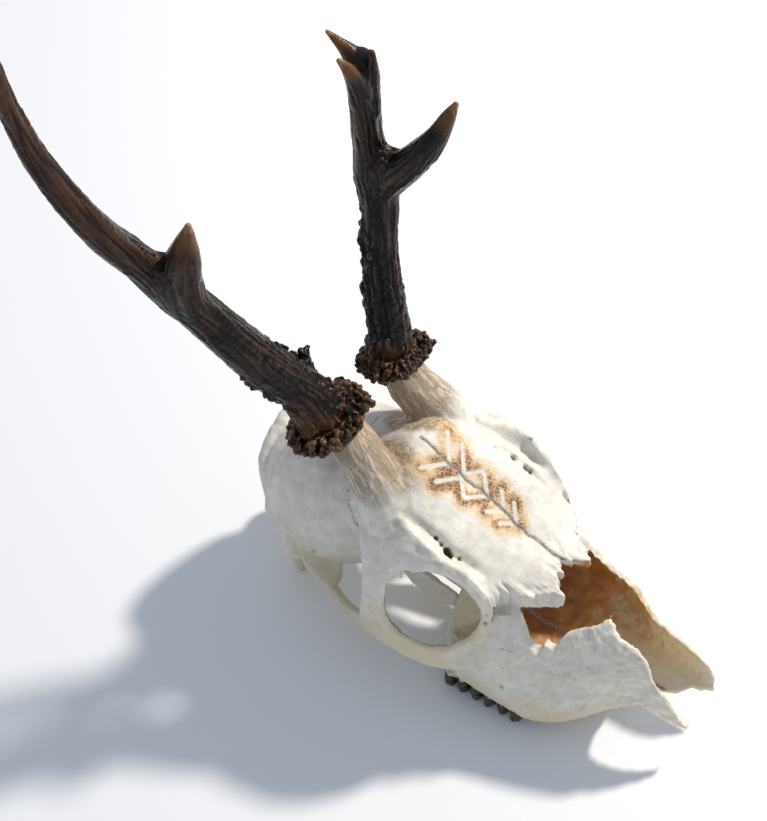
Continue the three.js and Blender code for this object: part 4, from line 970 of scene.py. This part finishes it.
def burr(side, seed):
    """Ring of coarse knobs at the foot of an antler, wider in some places than in others"""
    bx, bf, bz, radius, (ax, af, az) = BURRS[side]
    rng = np.random.default_rng(seed)
    centre = spot(bx, bf, bz)
    to_axis = Vector((ax, -af, az)).normalized().to_track_quat("Z", "X").to_matrix().to_4x4()
    lobes = rng.random(3) * 2 * math.pi
    bm = bmesh.new()
    bmesh.ops.create_cone(bm, cap_ends=True, segments=48, radius1=(radius - 2.8) * MM,
                          radius2=(radius - 3.6) * MM, depth=2 * (BURR_HEIGHT - 1) * MM,
                          matrix=Matrix.Translation(centre) @ to_axis)
    (fx, ff, fz), widest = FLARE[side]
    flare = Vector((fx, -ff, fz)).normalized()
    for _ in range(BURR_KNOBS):
        turn = rng.random() * 2 * math.pi
        level = float(np.clip(rng.normal(0, 0.5), -1, 1))
        lobe = sum(math.sin((n + 2) * turn + phase) for n, phase in enumerate(lobes)) * 0.55
        round_axis = Vector((math.cos(turn), math.sin(turn), 0))
        toward = (to_axis.to_3x3() @ round_axis).dot(flare)
        out = radius - 2 - 2.4 * level ** 2 + lobe + rng.normal(0, 0.7)
        out += widest * max(toward, 0) ** 5 * rng.random() ** 0.4
        size = 0.7 + 1.3 * rng.random() ** 2.2
        offset = to_axis.to_3x3() @ Vector((math.cos(turn) * out, math.sin(turn) * out,
                                            level * (BURR_HEIGHT - size * 0.6)))
        turned = Matrix.Rotation(turn, 4, "Z") @ Matrix.Rotation(rng.normal(0, 0.5), 4, "Y")
        shape = Matrix.Translation(centre + offset * MM) @ to_axis @ turned @ Matrix.Diagonal(
            (size * 1.5 * MM, size * (0.5 + 0.3 * rng.random()) * MM,
             size * (0.6 + 0.5 * rng.random()) * MM, 1))
        bmesh.ops.create_icosphere(bm, subdivisions=2, radius=1, matrix=shape)
    piece = made_of(f"antler_burr_{side}_knobs", bm)
    mesh = fused(piece, BURR_VOXEL)
    evened(mesh, np.ones(len(mesh.vertices)), 2)
    points = skull_places(vertex_places(mesh))
    rough = noise(points, 1.4, seed, 3)
    move_vertices(mesh, vertex_places(mesh) + vertex_normals(mesh) * (0.6 * rough * MM)[:, None])
    stands_out = bulge(mesh, 6)
    store(mesh, "furrow", smooth(0.05, -0.3, stands_out))
    store(mesh, "worn", smooth(0.0, 0.4, stands_out) + 0.3 * rough)
    patchy = 0.8 + 0.4 * noise(points, 7, seed + 1, 2)
    store(mesh, "tip", 0.88 * patchy * smooth(-0.04, 0.4, stands_out + 0.15 * noise(points, 4, seed + 1, 2)))
    dusty = smooth(-0.5, 0.3, noise(points, 5, seed + 2, 2))
    store(mesh, "ash", 0.85 * smooth(-0.1, 0.25, stands_out) * dusty)
    shaded_smooth(mesh)
    print(side, "burr", len(mesh.polygons))
    return finished(piece, "antler_burr", ANTLER, f"antler_burr_{side}")


burr("right", 51)
burr("left", 52)


# Molars: each crown has two lobes side by side with crescent ridges on the chewing face
def molars(side):
    """Crowns of one side's molars, drawn down from the gum and inset to a worn chewing face"""
    bm = bmesh.new()
    for tooth in range(TOOTH_ROW["count"]):
        for lobe in (0, 1):
            along = TOOTH_ROW["first"] + TOOTH_ROW["pitch"] * (tooth + 0.25 + 0.48 * lobe)
            across = side * (TOOTH_ROW["x"] - 0.1 * tooth)
            oval = Matrix.Translation(spot(across, along, 11)) @ Matrix.Diagonal((6.2 * MM, 2.7 * MM, 1, 1))
            ring = bmesh.ops.create_circle(bm, segments=32, radius=1, cap_ends=True, matrix=oval)
            face = ring["verts"][0].link_faces[0]
            for drop, grow in ((3, 1.04), (3.4, 0.99), (2.6, 0.92), (1.6, 0.86)):
                pushed = bmesh.ops.extrude_discrete_faces(bm, faces=[face])["faces"][0]
                bmesh.ops.translate(bm, verts=pushed.verts, vec=(0, 0, -drop * MM))
                centre = pushed.calc_center_median()
                bmesh.ops.scale(bm, verts=pushed.verts, vec=(grow, grow, 1),
                                space=Matrix.Translation(-centre))
                face = pushed
            bmesh.ops.inset_individual(bm, faces=[face], thickness=0.7 * MM)
            bmesh.ops.translate(bm, verts=face.verts, vec=(0, 0, 0.9 * MM))
    bmesh.ops.holes_fill(bm, edges=[edge for edge in bm.edges if edge.is_boundary])
    bmesh.ops.recalc_face_normals(bm, faces=bm.faces)
    piece = made_of("molars_right" if side < 0 else "molars_left", bm)
    mesh = fused(piece, MOLAR_VOXEL)
    evened(mesh, np.ones(len(mesh.vertices)), 3)
    points = skull_places(vertex_places(mesh))
    places = vertex_places(mesh) + vertex_normals(mesh) * (0.5 * noise(points, 2.2, 61, 3) * MM)[:, None]
    places[:, 2] = np.maximum(places[:, 2], 0)
    move_vertices(mesh, places)
    stands_out = bulge(mesh, 4)
    store(mesh, "bare_tooth", smooth(0.12, 0.35, stands_out) * smooth(4, 1.5, points[:, 2]))
    shaded_smooth(mesh)
    return finished(piece, "face_bone", ENAMEL)


molars(-1)
molars(1)


# Floor, light and camera
def floor():
    bm = bmesh.new()
    bmesh.ops.create_grid(bm, x_segments=1, y_segments=1, size=3)
    sheet = made_of("paper_floor", bm)
    sheet.data.materials.append(PAPER)


def soft_light(name, place, aim, size, power, tint):
    data = bpy.data.lights.new(name, "AREA")
    data.shape = "DISK"
    data.size = size
    data.energy = power
    data.color = linear(tint)[:3]
    lamp = linked(name, data)
    lamp.location = place
    lamp.rotation_euler = (Vector(aim) - Vector(place)).to_track_quat("-Z", "Y").to_euler()


def direction(turn, lift):
    """Unit vector, from a turn round the table and a lift above it in degrees"""
    turn, lift = math.radians(turn), math.radians(lift)
    return Vector((math.sin(turn) * math.cos(lift), -math.cos(turn) * math.cos(lift), math.sin(lift)))


# The camera and the light look at the forehead
AIM = (0, 80, 40)
LIGHT_TURN, LIGHT_LIFT, LIGHT_AWAY = 110, 46, 1200
LIGHT_SIZE, LIGHT_POWER, LIGHT_TINT = 0.11, 15, "#fff8ee"
ROOM_TINT, ROOM_STRENGTH = "#e0ebfa", 0.55

floor()
lamp_place = (at + step for at, step in zip(AIM, direction(LIGHT_TURN, LIGHT_LIFT) * LIGHT_AWAY))
soft_light("key", spot(*lamp_place), spot(*AIM), LIGHT_SIZE, LIGHT_POWER, LIGHT_TINT)
world = bpy.data.worlds.new("pale_room")
world.use_nodes = True
world.node_tree.nodes["Background"].inputs["Color"].default_value = linear(ROOM_TINT)
world.node_tree.nodes["Background"].inputs["Strength"].default_value = ROOM_STRENGTH
bpy.context.scene.world = world
bpy.context.scene.view_settings.view_transform = "Standard"

# The camera stands where the photograph was taken, found from the skull's own landmarks
AZIMUTH, ELEVATION, DISTANCE, ROLL = -62.05, 57.35, 565.23, 3.23
AIM_RIGHT, AIM_UP = -3.56, 4.99
FOCAL_PIXELS, FRAME_PIXELS, SENSOR = 1557.13, 821, 36.0


def photo_camera():
    back = direction(AZIMUTH, ELEVATION)
    ahead = -back
    right = ahead.cross(Vector((0, 0, 1))).normalized()
    up = right.cross(ahead)
    look = ahead + right * math.tan(math.radians(AIM_RIGHT))
    look = (look + up * math.tan(math.radians(AIM_UP))).normalized()
    right = look.cross(up).normalized()
    up = right.cross(look)
    roll = math.radians(ROLL)
    tilted_right = right * math.cos(roll) + up * math.sin(roll)
    tilted_up = up * math.cos(roll) - right * math.sin(roll)
    data = bpy.data.cameras.new("photo_camera")
    data.sensor_width = SENSOR
    data.sensor_fit = "AUTO"
    data.lens = FOCAL_PIXELS * SENSOR / FRAME_PIXELS
    camera = linked("photo_camera", data)
    camera.matrix_world = Matrix.Translation(spot(*AIM) + back * DISTANCE * MM) @ Matrix(
        (tilted_right, tilted_up, -look)).transposed().to_4x4()
    bpy.context.scene.camera = camera


photo_camera()
